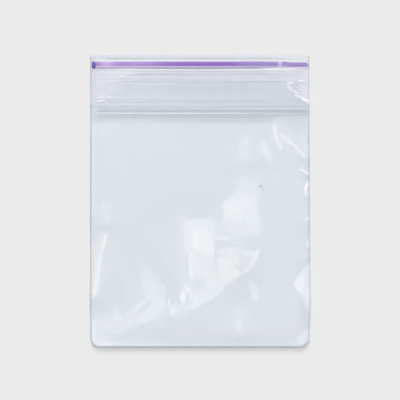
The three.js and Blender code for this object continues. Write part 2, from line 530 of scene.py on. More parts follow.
@dataclass
class Piece:
    """A finished piece of the bag and what it stands for."""

    name: str
    slot: str
    stands_for: str
    finish: bpy.types.Material
    sharp_above: float = 50.0  # degrees between faces past which an edge stays crisp

    def make(self, shell: Mesh, tone: np.ndarray | None = None, normals: np.ndarray | None = None) -> None:
        """Makes the mesh, dresses it and ties it to the CAD body.

        Args:
            shell: the corners, in millimetres, and the faces; a triangle repeats its last point.
            tone: a value from -1 to 1 for each point, which the finish reads.
            normals: the way each point faces; all zero where the mesh itself says.
        """
        points, faces = shell
        mesh = bpy.data.meshes.new(self.name)
        keep = np.ones(faces.shape, bool)
        keep[:, 3] = faces[:, 2] != faces[:, 3]
        sizes = keep.sum(1)
        loops = faces[keep]
        mesh.vertices.add(len(points))
        mesh.vertices.foreach_set("co", (points * MM).astype(np.float32).ravel())
        mesh.loops.add(len(loops))
        mesh.loops.foreach_set("vertex_index", loops.astype(np.int32))
        mesh.polygons.add(len(faces))
        mesh.polygons.foreach_set("loop_start", (np.cumsum(sizes) - sizes).astype(np.int32))
        mesh.update(calc_edges=True)
        mesh.validate()
        mesh.polygons.foreach_set("use_smooth", np.ones(len(faces), bool))
        mesh.set_sharp_from_angle(angle=math.radians(self.sharp_above))
        if normals is not None:
            mesh.normals_split_custom_set_from_vertices(normals)
        attribute = mesh.attributes.new("tone", "FLOAT", "POINT")
        values = np.zeros(len(points)) if tone is None else tone
        attribute.data.foreach_set("value", values.astype(np.float32))
        mesh.materials.append(self.finish)
        piece = placed(self.name, mesh)
        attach(piece, "root")
        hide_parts(self.stands_for)
        LOG.info("%s: %d points, %d faces", self.name, len(points), len(faces))

    def make_sheet(
        self, points: np.ndarray, thickness: float, tone: np.ndarray, facing: np.ndarray | None = None
    ) -> None:
        """Makes the piece from one grid of points as a closed thin sheet.

        Args:
            points: rows × columns × 3, in millimetres.
            thickness: of the sheet.
            tone: the finish's tone at each point of the grid.
            facing: outward normals of its first rows, where they differ from those of the mesh.
        """
        normals = None
        if facing is not None:
            outer = np.zeros_like(points)
            outer[: len(facing)] = facing
            normals = np.concatenate([outer.reshape(-1, 3), -outer.reshape(-1, 3)])
        self.make(sheet_shell(points, thickness), np.tile(tone.ravel(), 2), normals)


# ---- the bag's sizes --------------------------------------------------------------------------------------
@dataclass(frozen=True)
class BagSizes:
    """Outline and levels of the bag, in millimetres, read from the CAD nodes."""

    half_width: float
    bottom: float
    mouth: float
    coloured: Point  # low and high edge of the coloured track
    band: Point
    clear: Point
    bottom_radius: float = 6.2
    mouth_radius: float = 1.6
    zip_foot: float = 0.6  # film of the head below the clear track

    @classmethod
    def from_frame(cls) -> "BagSizes":
        """Reads the sizes from the CAD nodes."""
        low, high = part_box("bag_film")

        def span(node: str) -> Point:
            """Low and high edge of a node along Y."""
            near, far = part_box(node)
            return near.y / MM, far.y / MM

        return cls(
            half_width=(high.x - low.x) / 2.0 / MM,
            bottom=low.y / MM,
            mouth=high.y / MM,
            coloured=span("zip_track_purple"),
            band=span("grip_band"),
            clear=span("zip_track_clear"),
        )

    @property
    def head(self) -> float:
        """Level at which the pouch meets the zip's head."""
        return self.clear[0] - self.zip_foot

    def half_at(self, y: np.ndarray) -> np.ndarray:
        """Half of the width at level y: straight sides with an arc at each corner.

        Args:
            y: levels.

        Returns:
            The half widths.
        """

        def cut(radius: float, from_end: np.ndarray) -> np.ndarray:
            """What a corner's arc takes off, at a distance from its end of the bag."""
            return radius - np.sqrt(radius**2 - np.clip(radius - from_end, 0.0, radius) ** 2)

        corner = cut(self.bottom_radius, y - self.bottom)
        return self.half_width - corner - cut(self.mouth_radius, self.mouth - y)


# ---- creases ----------------------------------------------------------------------------------------------
STREAK_LEAD = 0.7  # millimetres by which a streak's taper starts before its line
STREAK_TIP = 0.35  # share of a streak's width that is left at its tips


@dataclass(frozen=True)
class Facet:
    """A flat stretch of creased film: a convex patch with a lean of its own.

    lean is 1 where the film would mirror the key light into the camera, 0 where it lies flat and negative
    where it leans away. Each corner is (x, y, softness of the edge that starts there), in millimetres.
    """

    name: str
    lean: float
    corners: tuple[Corner, ...]
    # a tone above 0 paints a highlight into the film's colour, one below 0 paints shade
    tone: float | None = None  # none: the crease's lean sets it

    def share(self, grid: Grid) -> np.ndarray:
        """How much of the facet is at each place: the product of ease(0.5 + inside / soft) over its edges.

        inside is how far a place lies within an edge.

        Args:
            grid: the places.

        Returns:
            1 inside the facet, 0 outside.
        """
        ends = self.corners[1:] + self.corners[:1]
        area = sum(a[0] * b[1] - b[0] * a[1] for a, b in zip(self.corners, ends))
        turn = math.copysign(1.0, area)
        share = np.ones_like(grid.x)
        for (x0, y0, soft), (x1, y1, _) in zip(self.corners, ends):
            length = math.hypot(x1 - x0, y1 - y0)
            inside = turn * ((x1 - x0) * (grid.y - y0) - (y1 - y0) * (grid.x - x0)) / length
            share = share * ease(0.5 + inside / soft)
        return share


@dataclass(frozen=True)
class Streak:
    """A narrow crease along a line, with a lean as a facet has; width and taper in millimetres."""

    name: str
    lean: float
    line: tuple[Point, ...]
    width: float
    taper: float
    # a tone above 0 paints a highlight into the film's colour, one below 0 paints shade
    tone: float | None = None  # none: the crease's lean sets it

    def share(self, grid: Grid) -> np.ndarray:
        """How much of the streak is at each place: a bell across the line that thins out at its ends.

        full eases from 0 to 1 over the taper at each end. The bell is as high as full is, and its width grows
        with full from the tip's share of the streak's width.

        Args:
            grid: the places.

        Returns:
            1 on the line, 0 away from it.
        """
        nearest = np.full_like(grid.x, np.inf)
        along = np.zeros_like(grid.x)
        run = 0.0
        for (x0, y0), (x1, y1) in zip(self.line, self.line[1:]):
            x, y = grid.x - x0, grid.y - y0
            length = math.hypot(x1 - x0, y1 - y0)
            part = np.clip((x * (x1 - x0) + y * (y1 - y0)) / length**2, 0.0, 1.0)
            off = np.hypot(x - part * (x1 - x0), y - part * (y1 - y0))
            along = np.where(off < nearest, run + part * length, along)
            nearest = np.minimum(nearest, off)
            run += length
        full = ease((along + STREAK_LEAD) / self.taper) * ease((run - along + STREAK_LEAD) / self.taper)
        return bump(nearest, self.width * (STREAK_TIP + (1.0 - STREAK_TIP) * full)) * full


Crease = Facet | Streak


@dataclass(frozen=True)
class SlopeSolver:
    """Finds the surface whose slopes come closest to wished ones.

    It minimises the sum of weight · |slope - wish|² + weight · (height / reach)². The first and the last row
    are held at height 0 and the side borders are free. The normal equations are solved by conjugate
    gradients, and each step is preconditioned by the same equations with an even weight, which a sine
    transform along the columns and a cosine transform along the rows solve at once.
    """

    step_x: float
    step_y: float
    reach: float = 60.0
    rounds: int = 60
    tolerance: float = 1e-4

    def even(self, residual: np.ndarray, weight: float, pull: float) -> np.ndarray:
        """Solves (pull - weight · Laplacian) height = residual with the same borders.

        Args:
            residual: the right-hand side.
            weight: the even weight.
            pull: strength of the pull towards height 0.

        Returns:
            The height.
        """
        rows, columns = residual.shape
        mirrored = np.concatenate([residual, -residual[::-1]])
        mirrored = np.concatenate([mirrored, mirrored[:, ::-1]], 1)
        along = (2.0 - 2.0 * np.cos(2.0 * np.pi * np.fft.fftfreq(2 * rows))) / self.step_y**2
        across = (2.0 - 2.0 * np.cos(2.0 * np.pi * np.fft.rfftfreq(2 * columns))) / self.step_x**2
        spectrum = np.fft.rfft2(mirrored) / (weight * (along[:, None] + across) + pull)
        return np.fft.irfft2(spectrum, s=mirrored.shape)[:rows, :columns]

    def solve(self, slopes: np.ndarray, weight: np.ndarray) -> np.ndarray:
        """Finds the height.

        Args:
            slopes: wished rise along X and along Y at each point.
            weight: how much each wish counts.

        Returns:
            The height at each point.
        """
        slope_x, slope_y = slopes
        weight_x = (weight[:, 1:] + weight[:, :-1]) / 2.0
        weight_y = (weight[1:] + weight[:-1]) / 2.0
        pull = weight.mean() / self.reach**2

        def outflow(along_x: np.ndarray, along_y: np.ndarray) -> np.ndarray:
            """Adds up what each point's edges carry."""
            total = np.zeros_like(weight)
            total[:, :-1] -= along_x / self.step_x
            total[:, 1:] += along_x / self.step_x
            total[:-1] -= along_y / self.step_y
            total[1:] += along_y / self.step_y
            return total

        def applied(height: np.ndarray) -> np.ndarray:
            """The normal equations' left-hand side, with the pull of the held rows."""
            rise_x = weight_x * np.diff(height, axis=1) / self.step_x
            rise_y = weight_y * np.diff(height, axis=0) / self.step_y
            total = outflow(rise_x, rise_y) + pull * height
            total[[0, -1]] += 2.0 * weight[[0, -1]] * height[[0, -1]] / self.step_y**2
            return total

        wish_x = weight_x * (slope_x[:, 1:] + slope_x[:, :-1]) / 2.0
        wish_y = weight_y * (slope_y[1:] + slope_y[:-1]) / 2.0
        residual = outflow(wish_x, wish_y)
        aim = np.linalg.norm(residual) * self.tolerance
        even_weight = float(np.exp(np.log(weight).mean()))
        height = np.zeros_like(residual)
        guess = self.even(residual, even_weight, pull)
        way = guess
        for _ in range(self.rounds):
            push = applied(way)
            size = (residual * guess).sum()
            length = size / (way * push).sum()
            height = height + length * way
            residual = residual - length * push
            if np.linalg.norm(residual) < aim:
                break
            guess = self.even(residual, even_weight, pull)
            way = guess + (residual * guess).sum() / size * way
        return height


@dataclass(frozen=True)
class CreasedField:
    """Adds creases to a plain film: every crease asks for slopes, and between creases it is nearly free."""

    studio: Studio
    creases: tuple[Crease, ...]
    loose_weight: float = 0.05  # how much a slope counts where no crease is
    away_weight: float = 0.5  # how much it counts where the film leans away
    calm_weight: float = 0.4  # how much flatness counts where loose film would catch a lamp
    calm_reach: float = 0.15  # nearness to a lamp's mirror slope that counts as catching it
    calm_from: float = 0.6  # share of loose film from which it is kept flat
    calm_lamps: tuple[Lamp, ...] = (Lamp.KEY, Lamp.SIDE)
    passes: int = 8
    most_push: float = 0.5  # most that a pass may ask for on top of a crease's slope
    fall: float = 0.16  # shortfall of slope at which nothing of the key light shows
    ripple: float = 0.7  # degrees
    ripple_grain: float = 5.0
    seed: int = 3
    # a crease without a tone of its own gets painted highlight that grows with its lean, and painted shade
    # where it leans away
    painted_light_per_lean: float = 0.8  # tone of a crease of lean 1

    def tone(self, grid: Grid) -> np.ndarray:
        """The finish's tone at each place, which paints highlights and shade: every crease lays its own over
        what was there.

        Args:
            grid: the places.

        Returns:
            The tones, from -1 to 1.
        """
        tone = np.zeros_like(grid.x)
        for crease in self.creases:
            share = crease.share(grid)
            own = self.painted_light_per_lean * crease.lean if crease.tone is None else crease.tone
            tone = tone * (1.0 - share) + own * share
        return np.clip(tone, -1.0, 1.0)

    def laid(self, slopes: np.ndarray, crease: Crease, share: np.ndarray, glint: np.ndarray) -> np.ndarray:
        """Lays the slopes that a crease asks for over others.

        They point as the key light's mirror slopes do. Their size is that of the mirror slope less
        (1 - lean) · fall, and for a negative lean it is lean · fall.

        Args:
            slopes: what was there.
            crease: the crease.
            share: how much of it is at each place.
            glint: the key light's mirror slopes.

        Returns:
            The slopes with the crease in them.
        """
        size = np.hypot(*glint)
        lean = crease.lean
        wanted = size - self.fall * (1.0 - lean) if lean > 0.0 else self.fall * lean
        return slopes * (1.0 - share) + share * (wanted / size * glint)

    def glare(self, slopes: np.ndarray, glint: np.ndarray) -> np.ndarray:
        """1 within half of calm_reach round a lamp's mirror slopes, and 0 outside calm_reach."""
        return ease(2.0 - 2.0 * np.hypot(*(slopes - glint)) / self.calm_reach)

    def height(self, plain: np.ndarray, grid: Grid) -> np.ndarray:
        """Height that the creases add to a plain film.

        The plain film's own slopes are taken off what a crease asks for, and the solver does the rest. Each
        further pass asks bright creases for what the last one fell short, and asks for flatness where film
        outside the creases came near a lamp's mirror slope.

        Args:
            plain: height of the plain film at each point.
            grid: the film's places.

        Returns:
            The added heights.
        """
        steps = grid.steps
        cell = abs(math.prod(steps))
        rise = grid.slopes(plain)
        waves = [
            soft_noise(plain.shape, math.sqrt(cell), self.ripple_grain, self.seed + axis) for axis in range(2)
        ]
        goal = rise + math.tan(math.radians(self.ripple)) * np.stack(waves)
        weight = np.full_like(plain, self.loose_weight)
        bright, loose = np.zeros_like(plain), np.ones_like(plain)
        glints = {lamp: self.studio.glint(lamp, grid) for lamp in self.calm_lamps}
        for crease in self.creases:
            if not crease.lean:
                continue
            share = crease.share(grid)
            LOG.debug("%s: %.1f square millimetres", crease.name, share.sum() * cell)
            goal = self.laid(goal, crease, share, glints[Lamp.KEY])
            firm = 1.0 if crease.lean > 0.0 else self.away_weight
            weight = np.maximum(weight * (1.0 - share) + firm * share, self.loose_weight)
            bright = bright * (1.0 - share) + share * (crease.lean > 0.0)
            loose = loose * (1.0 - share)
        free = ease((loose - self.calm_from) / (1.0 - self.calm_from))
        solver = SlopeSolver(*steps)
        push = np.zeros_like(goal)
        for _ in range(self.passes):
            added = solver.solve(goal + push - rise, weight)
            total = grid.slopes(plain + added)
            push = np.clip(push + bright * (goal - total), -self.most_push, self.most_push)
            for glint in glints.values():
                glare = free * self.glare(total, glint)
                goal = goal * (1.0 - glare)
                weight = weight + (self.calm_weight - weight) * glare
        return added

    def facing(self, height: np.ndarray, grid: Grid) -> np.ndarray:
        """Which way the film faces at each point: as its height says, but crisper at the creases.

        A fold's border is finer than the grid, so within a crease the film faces as the crease asks. Where
        loose film came near a lamp's mirror slope all the same, it is calmed.

        Args:
            height: of the film.
            grid: the film's places.

        Returns:
            Unit normals, points × 3.
        """
        slopes = grid.slopes(height)
        glints = {lamp: self.studio.glint(lamp, grid) for lamp in self.calm_lamps}
        for glint in glints.values():
            slopes = slopes * (1.0 - self.glare(slopes, glint))
        for crease in self.creases:
            if crease.lean:
                slopes = self.laid(slopes, crease, crease.share(grid), glints[Lamp.KEY])
        return unit(np.stack([*-slopes, np.ones_like(height)], -1))


# ---- the head of the bag ----------------------------------------------------------------------------------
@dataclass(frozen=True)
class HeadRelief:
    """Heights over the zip: two tracks, the ribbed band between them, and their pressed ends."""

    sizes: BagSizes
    floor: float = 0.8
    seal: float = 0.34
    band_top: float = 1.4
    band_flank: float = 0.8
    track_top: float = 1.85
    clear_top: float = 1.75
    coloured_middle: float = 92.7
    clear_middle: float = 60.3
    coloured_half: float = 1.85
    clear_half: float = 2.2
    track_reach: float = 1.35  # where a track's flanks end, in half widths of the track
    track_flank: float = 0.8  # how wide they are
    ribs: tuple[float, ...] = (3.5, 6.2, 9.2, 20.3, 22.7, 24.8)  # below the band's upper edge
    rib_width: float = 1.3
    rib_height: float = 0.14
    end_gap: float = 0.4
    end_run: float = 4.5
    crushed_length: float = 18.0
    crush_run: float = 5.0
    crush: float = 0.5
    crush_shift: float = 0.5
    cushion: float = 0.12  # the film lies this far above the parts of the zip
    track_cover: float = 0.05  # and the visible tracks end this far under their tops here

    def track_shape(self, off: np.ndarray, half: float) -> np.ndarray:
        """A track's rise from 0 to 1: a flat dome whose flanks ease out just past its edges."""
        return ease((self.track_reach - np.abs(off) / half) / self.track_flank)

    def crushed(self, x: np.ndarray) -> np.ndarray:
        """1 over the crushed right end of the coloured track, 0 left of it."""
        return ease((x - self.sizes.half_width + self.crushed_length) / self.crush_run)

    def ends(self, x: np.ndarray) -> np.ndarray:
        """0 at the side seals, where all is pressed flat, and 1 further in."""
        return ease((self.sizes.half_width - np.abs(x) - self.end_gap) / self.end_run)

    def film(self, x: np.ndarray, y: np.ndarray) -> np.ndarray:
        """Height of the zip's parts under the front film.

        The plate of the band eases up from the floor and has a bell for each rib. Each track then draws the
        height to its own top by its shape, and both ends sink to the seals.

        Args:
            x: places along X.
            y: places along Y.

        Returns:
            The heights.
        """
        low, high = self.sizes.band
        plate = ease((y - low) / self.band_flank + 0.5) * ease((high - y) / self.band_flank + 0.5)
        z = self.floor + (self.band_top - self.floor) * plate
        for below in self.ribs:
            z = z + self.rib_height * bump(y - (high - below), self.rib_width)
        crushed = self.crushed(x)
        shape = self.track_shape(y - self.coloured_middle + self.crush_shift * crushed, self.coloured_half)
        z = z + (self.track_top - self.crush * crushed - z) * shape
        z = z + (self.clear_top - z) * self.track_shape(y - self.clear_middle, self.clear_half)
        return self.seal + (z - self.seal) * self.ends(x)


@dataclass
class HeadFilm:
    """The film over and under the zip, with the two lips above it."""

    sizes: BagSizes
    relief: HeadRelief
    creases: CreasedField
    columns: int = 251
    row_step: float = 0.3
    thickness: float = 0.08
    least: float = 0.3  # the front film lies nowhere lower
    crease_fade: float = 2.5  # above the pouch
    lip_inset: float = 0.8  # the front lip ends this far below the back one
    lip_run: float = 0.625  # share of the lip over which it leaves the track's height
    lip_height: float = 0.8
    lip_waves: tuple[Wave, ...] = ((0.25, 9.0, 0.6), (0.2, 21.0, -1.1))
    lip_sag: float = 3.0
    lip_sag_length: float = 32.0
    back_columns: int = 101
    back_rows: int = 40
    back_height: float = 0.12
    back_lift: float = 0.35  # rise of the back lip
    back_lift_run: float = 5.0
    back_wave: Wave = (0.4, 13.0, 2.0)  # its height is a share of the lift

    def front(self) -> tuple[np.ndarray, np.ndarray, np.ndarray]:
        """Works out the front film, rows from the lip's edge down to the pouch.

        It lies on the zip's relief. From the coloured track to the lip's edge it eases to the lip's height,
        plus a sum of sines, and its right end sags by an eased length. The creases are added over all.

        Returns:
            Its points, tones and normals.
        """
        sizes = self.sizes
        top, track_edge = sizes.mouth - self.lip_inset, sizes.coloured[1]
        count = round((top - sizes.head) / self.row_step) + 1
        across = np.linspace(-1.0, 1.0, self.columns)
        grid = Grid.over(across * sizes.half_width, np.linspace(top, sizes.head, count))
        x, y = grid.x, grid.y
        z = self.relief.film(x, y) + self.relief.cushion
        lip = np.clip((y - track_edge) / (top - track_edge), 0.0, 1.0)
        wave = sum(height * np.sin(x / run + start) for height, run, start in self.lip_waves)
        z = z + (self.lip_height + wave * self.relief.ends(x) - z) * ease(lip / self.lip_run)
        fade = ease((y - sizes.head) / self.crease_fade)
        z = np.maximum(z + fade * self.creases.height(z, grid), self.least)
        sag = self.lip_sag * ease((x - sizes.half_width + self.lip_sag_length) / self.lip_sag_length)
        level = y - lip * sag
        points = np.stack([sizes.half_at(np.minimum(level, top)) * across, level, z], -1)
        return points, self.creases.tone(grid), self.creases.facing(z, grid)

    def back(self) -> tuple[np.ndarray, np.ndarray, None]:
        """Works out the back film: flat from the pouch up, with a last stretch that eases up in a sine.

        Returns:
            Its points and tones, and no normals of its own.
        """
        sizes = self.sizes
        across = np.linspace(-1.0, 1.0, self.back_columns)
        y = np.linspace(sizes.head, sizes.mouth, self.back_rows)[:, None] + 0.0 * across
        x = sizes.half_at(y) * across
        share, run, start = self.back_wave
        wave = 1.0 - share + share * np.sin(x / run + start)
        lift = self.back_lift * ease(1.0 - (sizes.mouth - y) / self.back_lift_run) * wave
        return np.stack([x, y, self.back_height + lift], -1), np.zeros_like(x), None

    def build(self, finish: bpy.types.Material) -> np.ndarray:
        """Makes both sheets of the head.

        Args:
            finish: the film's material.

        Returns:
            The front sheet's grid of points.
        """
        front = self.front()
        for name, (points, tone, facing) in (("head_film_front", front), ("head_film_back", self.back())):
            Piece(name, "clear_film", "bag_film", finish).make_sheet(points, self.thickness, tone, facing)
        return front[0]


@dataclass
class GripBand:
    """The thicker ribbed band between the two tracks, pressed flat at the side seals."""

    sizes: BagSizes
    relief: HeadRelief
    low: float = 0.5
    stations: int = 61
    row_step: float = 0.3
    edge: float = 0.3
    end_inset: float = 0.6
    below_film: float = 0.1
    least_thickness: float = 0.08
    points_under: int = 12

    def build(self, finish: bpy.types.Material) -> None:
        """Makes the band as one bar carried along the zip: the relief above, and a flat underside.

        Args:
            finish: the band's material.
        """
        start, end = self.sizes.band[0] + self.edge, self.sizes.band[1] - self.edge
        over = np.linspace(end, start, round((end - start) / self.row_step) + 1)
        under = np.linspace(start, end, self.points_under)
        x = np.linspace(-1.0, 1.0, self.stations)[:, None] * (self.sizes.half_width - self.end_inset)
        top = self.relief.film(x, over[None, :]) - self.below_film
        bottom = np.minimum(self.low, top.min(1, keepdims=True) - self.least_thickness) + 0.0 * under
        y = np.concatenate([over, under])[None, :] + 0.0 * x
        rings = np.stack([x + 0.0 * y, y, np.concatenate([top, bottom], 1)], -1)
        Piece("grip_band", "clear_band", "grip_band", finish).make(carried_profile(rings))


@dataclass
class ZipTrack:
    """One track of the zip: two rails side by side, carried along X."""

    name: str
    slot: str
    relief: HeadRelief
    middle: float
    left: float
    right: float
    width: float
    top: float
    low: float = 0.7
    least_width: float = 0.25
    groove: float = 0.08  # its depth and width, in heights and half widths of the track
    groove_width: float = 0.5
    fullness: float = 0.5  # exponent that flattens the section's dome
    foot_width: float = 0.96  # of the flat underside, in widths of the track
    foot_drop: float = 0.02
    points_under: int = 7
    bulb_width: float = 0.0  # melted bead at the left end; none where 0
    bulb_length: float = 2.6
    bulb_shape: float = 2.6  # exponent of its outline: 2 is an oval, and more is fuller
    bulb_overlap: float = 0.3  # share of the bulb that the rails' start lies in
    crush: float = 0.0
    crush_shift: float = 0.0
    # painted light on the flank that faces the pouch, where the lamps leave it in shade
    painted_flank_light: float = 0.0  # tone of the flank that faces the pouch
    flank_light_start: float = 0.25  # where its tone starts, in half widths of the track
    flank_light_run: float = 0.5
    # painted highlights along the track
    painted_highlight_spots: tuple[Spot, ...] = ()
    stations: int = 220
    points_over: int = 33

    def build(self, finish: bpy.types.Material) -> None:
        """Makes the track.

        The section is a half circle pressed to the track's height, with a groove between its rails. It is
        round at its right end, and swells to a bulb at the left end where there is one.

        Args:
            finish: the track's material.
        """
        part = np.linspace(0.0, 1.0, self.stations)[:, None]
        x = self.left + (self.right - self.left) * (0.5 - 0.5 * np.cos(np.pi * part))
        crushed = self.relief.crushed(x)
        start = (1.0 - self.bulb_overlap) * self.bulb_length if self.bulb_width else 0.0
        radius = self.width / 2.0
        from_end = np.clip(np.minimum(x - self.left - start, self.right - x) / radius, 0.0, 1.0)
        body = np.sqrt(1.0 - (1.0 - from_end) ** 2)
        # painted highlights along the track
        tone = sum((pale * bump(x - place, width) for place, width, pale in self.painted_highlight_spots), 0.0 * x)
        width = np.maximum(self.width * body, self.least_width)
        rails = np.ones_like(x, dtype=bool)
        if self.bulb_width:
            off = (x - self.left) / (self.bulb_length / 2.0) - 1.0
            bulb = np.sqrt(np.maximum(0.0, 1.0 - np.abs(off) ** self.bulb_shape))
            width = np.maximum(width, self.bulb_width * bulb)
            rails = off >= 1.0
            tone = np.where(rails, tone, -1.0)
        turn = np.linspace(0.0, np.pi, self.points_over)[None, :]
        side, arch = np.cos(turn), np.sin(turn) ** self.fullness
        under = np.linspace(-self.foot_width, self.foot_width, self.points_under)[None, :]
        top = self.low + (self.top - self.low) * np.minimum(1.0, width / self.width) - self.crush * crushed
        over_z = self.low + (top - self.low) * (arch - self.groove * bump(side, self.groove_width) * body)
        under_z = np.full((self.stations, self.points_under), self.low - self.foot_drop)
        z = np.concatenate([over_z, under_z], 1)
        across = np.concatenate([side, under], 1)
        y = self.middle - self.crush_shift * crushed + across * width / 2.0
        # painted light on the flank that faces the pouch
        flank = ease((-across - self.flank_light_start) / self.flank_light_run)
        tones = tone + self.painted_flank_light * flank * rails
        tones = np.concatenate([tones.ravel(), tone[0], tone[-1]])
        shell = carried_profile(np.stack([x + 0.0 * y, y, z], -1))
        Piece(self.name, self.slot, self.name, finish).make(shell, np.clip(tones, -1.0, 1.0))


# ---- the pouch --------------------------------------------------------------------------------------------
@dataclass
class PouchFilm:
    """The bag below its zip: one film, folded at the bottom, with its creased front panel up."""

    sizes: BagSizes
    relief: HeadRelief
    creases: CreasedField
    step: float = 0.78
    thickness: float = 0.08
    flat: float = 0.12  # height of the back film on the table
    seal_gap: float = 0.2
    puff: float = 4.0
    side_run: float = 60.0
    side_lift: float = 2.2  # rise of the side seals off the table, half way down
    side_lift_run: float = 16.0
    head_run: float = 60.0
    foot_run: float = 50.0
    fold_radius: float = 0.45  # in plan
    fold_height: float = 2.2
    lift_run: float = 36.0
    edge_run: float = 9.0
    fold_rows: int = 7
    back_rows: int = 36
    crease_fade: float = 2.0  # below the zip
    softness: float = 0.2  # how gently the front film settles on the back film
    foot_zone: float = 0.3  # the rim follows the fold up to this far above the front film's last row

    def __post_init__(self) -> None:
        """Works out the front film's grid, heights, tones and normals."""
        sizes = self.sizes
        columns = round(2.0 * sizes.half_width / self.step) + 1
        rows = round((sizes.head - sizes.bottom - self.fold_radius) / self.step) + 1
        self.across = np.linspace(-1.0, 1.0, columns)
        self.levels = np.linspace(sizes.head, sizes.bottom + self.fold_radius, rows)
        grid = Grid.over(self.across * sizes.half_width, self.levels)
        plain = self.plain_front(grid)
        fade = ease((sizes.head - grid.y) / self.crease_fade)
        height = plain + fade * self.creases.height(plain, grid)
        LOG.info("creased film: %.2f to %.2f mm high", height.min(), height.max())
        low = self.flat + self.gap(grid.y)
        self.front = low + self.softness * np.logaddexp(0.0, (height - low) / self.softness)
        self.tone = self.creases.tone(grid)
        self.facing = self.creases.facing(self.front, grid)

    def gap(self, y: np.ndarray) -> np.ndarray:
        """Least distance between the two films at level y: it opens to the fold at the bottom."""
        open_share = ease(1.0 - (y - self.sizes.bottom) / self.lift_run)
        return self.seal_gap + (self.fold_height - self.seal_gap) * open_share

    def plain_front(self, grid: Grid) -> np.ndarray:
        """Height of the front film without creases: a shallow cushion between seals, fold and zip.

        The side seals rise by a product of two eased runs, from the zip and from the fold. The zip's height
        fades into them, and the puff is a product of three such runs.

        Args:
            grid: the film's places.

        Returns:
            The heights.
        """
        sizes, y = self.sizes, grid.y
        below_head = ease((sizes.head - y) / self.head_run)
        above_fold = ease((y - sizes.bottom) / self.foot_run)
        side_head = ease((sizes.head - y) / self.side_lift_run)
        side_fold = ease((y - sizes.bottom) / self.side_lift_run)
        seal = self.flat + self.gap(y) + self.side_lift * (side_head * side_fold)
        head = self.relief.film(grid.x, np.full_like(y, sizes.head)) + self.relief.cushion
        from_side = ease((sizes.half_width - np.abs(grid.x)) / self.side_run)
        return seal + (head - seal) * (1.0 - below_head) + self.puff * from_side * below_head * above_fold

    def rim_height(self, x: np.ndarray, y: np.ndarray) -> np.ndarray:
        """Height of the middle of the rim, between the two films.

        Args:
            x: places along X, on the outline.
            y: places along Y, on the outline.

        Returns:
            The heights.
        """
        up, foot_level = self.levels[::-1], self.levels[-1]
        left, right = (np.interp(y, up, self.front[::-1, column]) for column in (0, -1))
        foot = np.interp(x, self.across * self.sizes.half_at(foot_level), self.front[-1])
        front = np.where(y > foot_level + self.foot_zone, np.where(x < 0.0, left, right), foot)
        return front - self.gap(y) / 2.0

    def build(self, finish: bpy.types.Material) -> np.ndarray:
        """Makes the pouch: front panel from the zip down, round the fold, and the back panel up again.

        The back film lies flat on the table and lifts to meet the front film at the seals and the fold.

        Args:
            finish: the film's material.

        Returns:
            The front panel's grid of points.
        """
        sizes = self.sizes
        turn = np.linspace(0.0, np.pi, self.fold_rows + 2)[1:-1, None]
        fold_y = sizes.bottom + self.fold_radius * (1.0 - np.sin(turn[:, 0]))
        fold_z = self.front[-1] - self.fold_height / 2.0 * (1.0 - np.cos(turn))
        pick = np.rint(np.linspace(len(self.levels) - 1, 0, self.back_rows)).astype(int)
        back_y = self.levels[pick]
        from_side = sizes.half_width * (1.0 - np.abs(self.across))
        beside = ease(1.0 - from_side / self.edge_run)[None, :]
        above_fold = ease(1.0 - (back_y - sizes.bottom - self.fold_radius) / self.lift_run)[:, None]
        rise = self.front[pick] - self.gap(back_y)[:, None] - self.flat
        back_z = self.flat + rise * np.maximum(beside, above_fold)
        levels = np.concatenate([self.levels, fold_y, back_y])
        z = np.concatenate([self.front, fold_z, back_z])
        tones = np.zeros_like(z)
        tones[: len(self.levels)] = self.tone
        points = np.stack([sizes.half_at(levels)[:, None] * self.across, levels[:, None] + 0.0 * z, z], -1)
        piece = Piece("pouch_film", "clear_film", "bag_film", finish)
        piece.make_sheet(points, self.thickness, tones, self.facing[:-1])
        return points[: len(self.levels)]


@dataclass
class EdgeBead:
    """The melted, trimmed rim that runs down one side, round the bottom fold and up the other side."""

    sizes: BagSizes
    pouch: PouchFilm
    radius: float = 0.28
    fold_radius: float = 0.5
    height: float = 0.5
    fold_height: float = 2.2
    fold_drop: float = 0.15  # the rim under the fold lies this far past the outline
    inset: float = 0.7  # of its centre line from the outline, in radii
    mouth_gap: float = 1.2
    stations_side: int = 160
    stations_corner: int = 14
    stations_bottom: int = 120
    sides: int = 10

    def path(self) -> np.ndarray:
        """The rim's centre line in plan, from the left end of the mouth round to the right end."""
        sizes = self.sizes
        half, radius = sizes.half_width - self.radius * self.inset, sizes.bottom_radius
        low = sizes.bottom - self.fold_drop
        down = np.linspace(sizes.mouth - self.mouth_gap, low + radius, self.stations_side)
        left = np.stack([np.full_like(down, -half), down], -1)
        turn = np.linspace(np.pi, 1.5 * np.pi, self.stations_corner)[1:-1]
        arc = np.stack([-half + radius + radius * np.cos(turn), low + radius + radius * np.sin(turn)], -1)
        along = np.linspace(-half + radius, half - radius, self.stations_bottom)
        bottom = np.stack([along, np.full_like(along, low)], -1)
        return np.concatenate([left, arc, bottom, arc[::-1] * (-1, 1), left[::-1] * (-1, 1)])

    def build(self, finish: bpy.types.Material) -> None:
        """Makes the rim as a tube carried round the path.

        Args:
            finish: its material.
        """
        path = self.path()
        fold = ease(1.0 - (path[:, 1] - self.sizes.bottom) / self.sizes.bottom_radius)
        radius = self.radius + (self.fold_radius - self.radius) * fold
        rise = (self.height + (self.fold_height - self.height) * fold) / 2.0
        middle = np.maximum(self.pouch.rim_height(path[:, 0], path[:, 1]), rise)
        plan, circle = ovals(path, radius, self.sides)
        z = middle[:, None] + circle * rise[:, None]
        shell = carried_profile(np.concatenate([plan, z[..., None]], -1))
        Piece("edge_bead", "clear_band", "bag_film", finish).make(shell)


# ---- the sharpest folds -----------------------------------------------------------------------------------
@dataclass(frozen=True)
class Ridge:
    """A sharp fold, along a line of (x, y) in millimetres, whose crest gets a white bead that paints its
    highlight.
    """

    name: str
    line: tuple[Point, ...]
    width: float


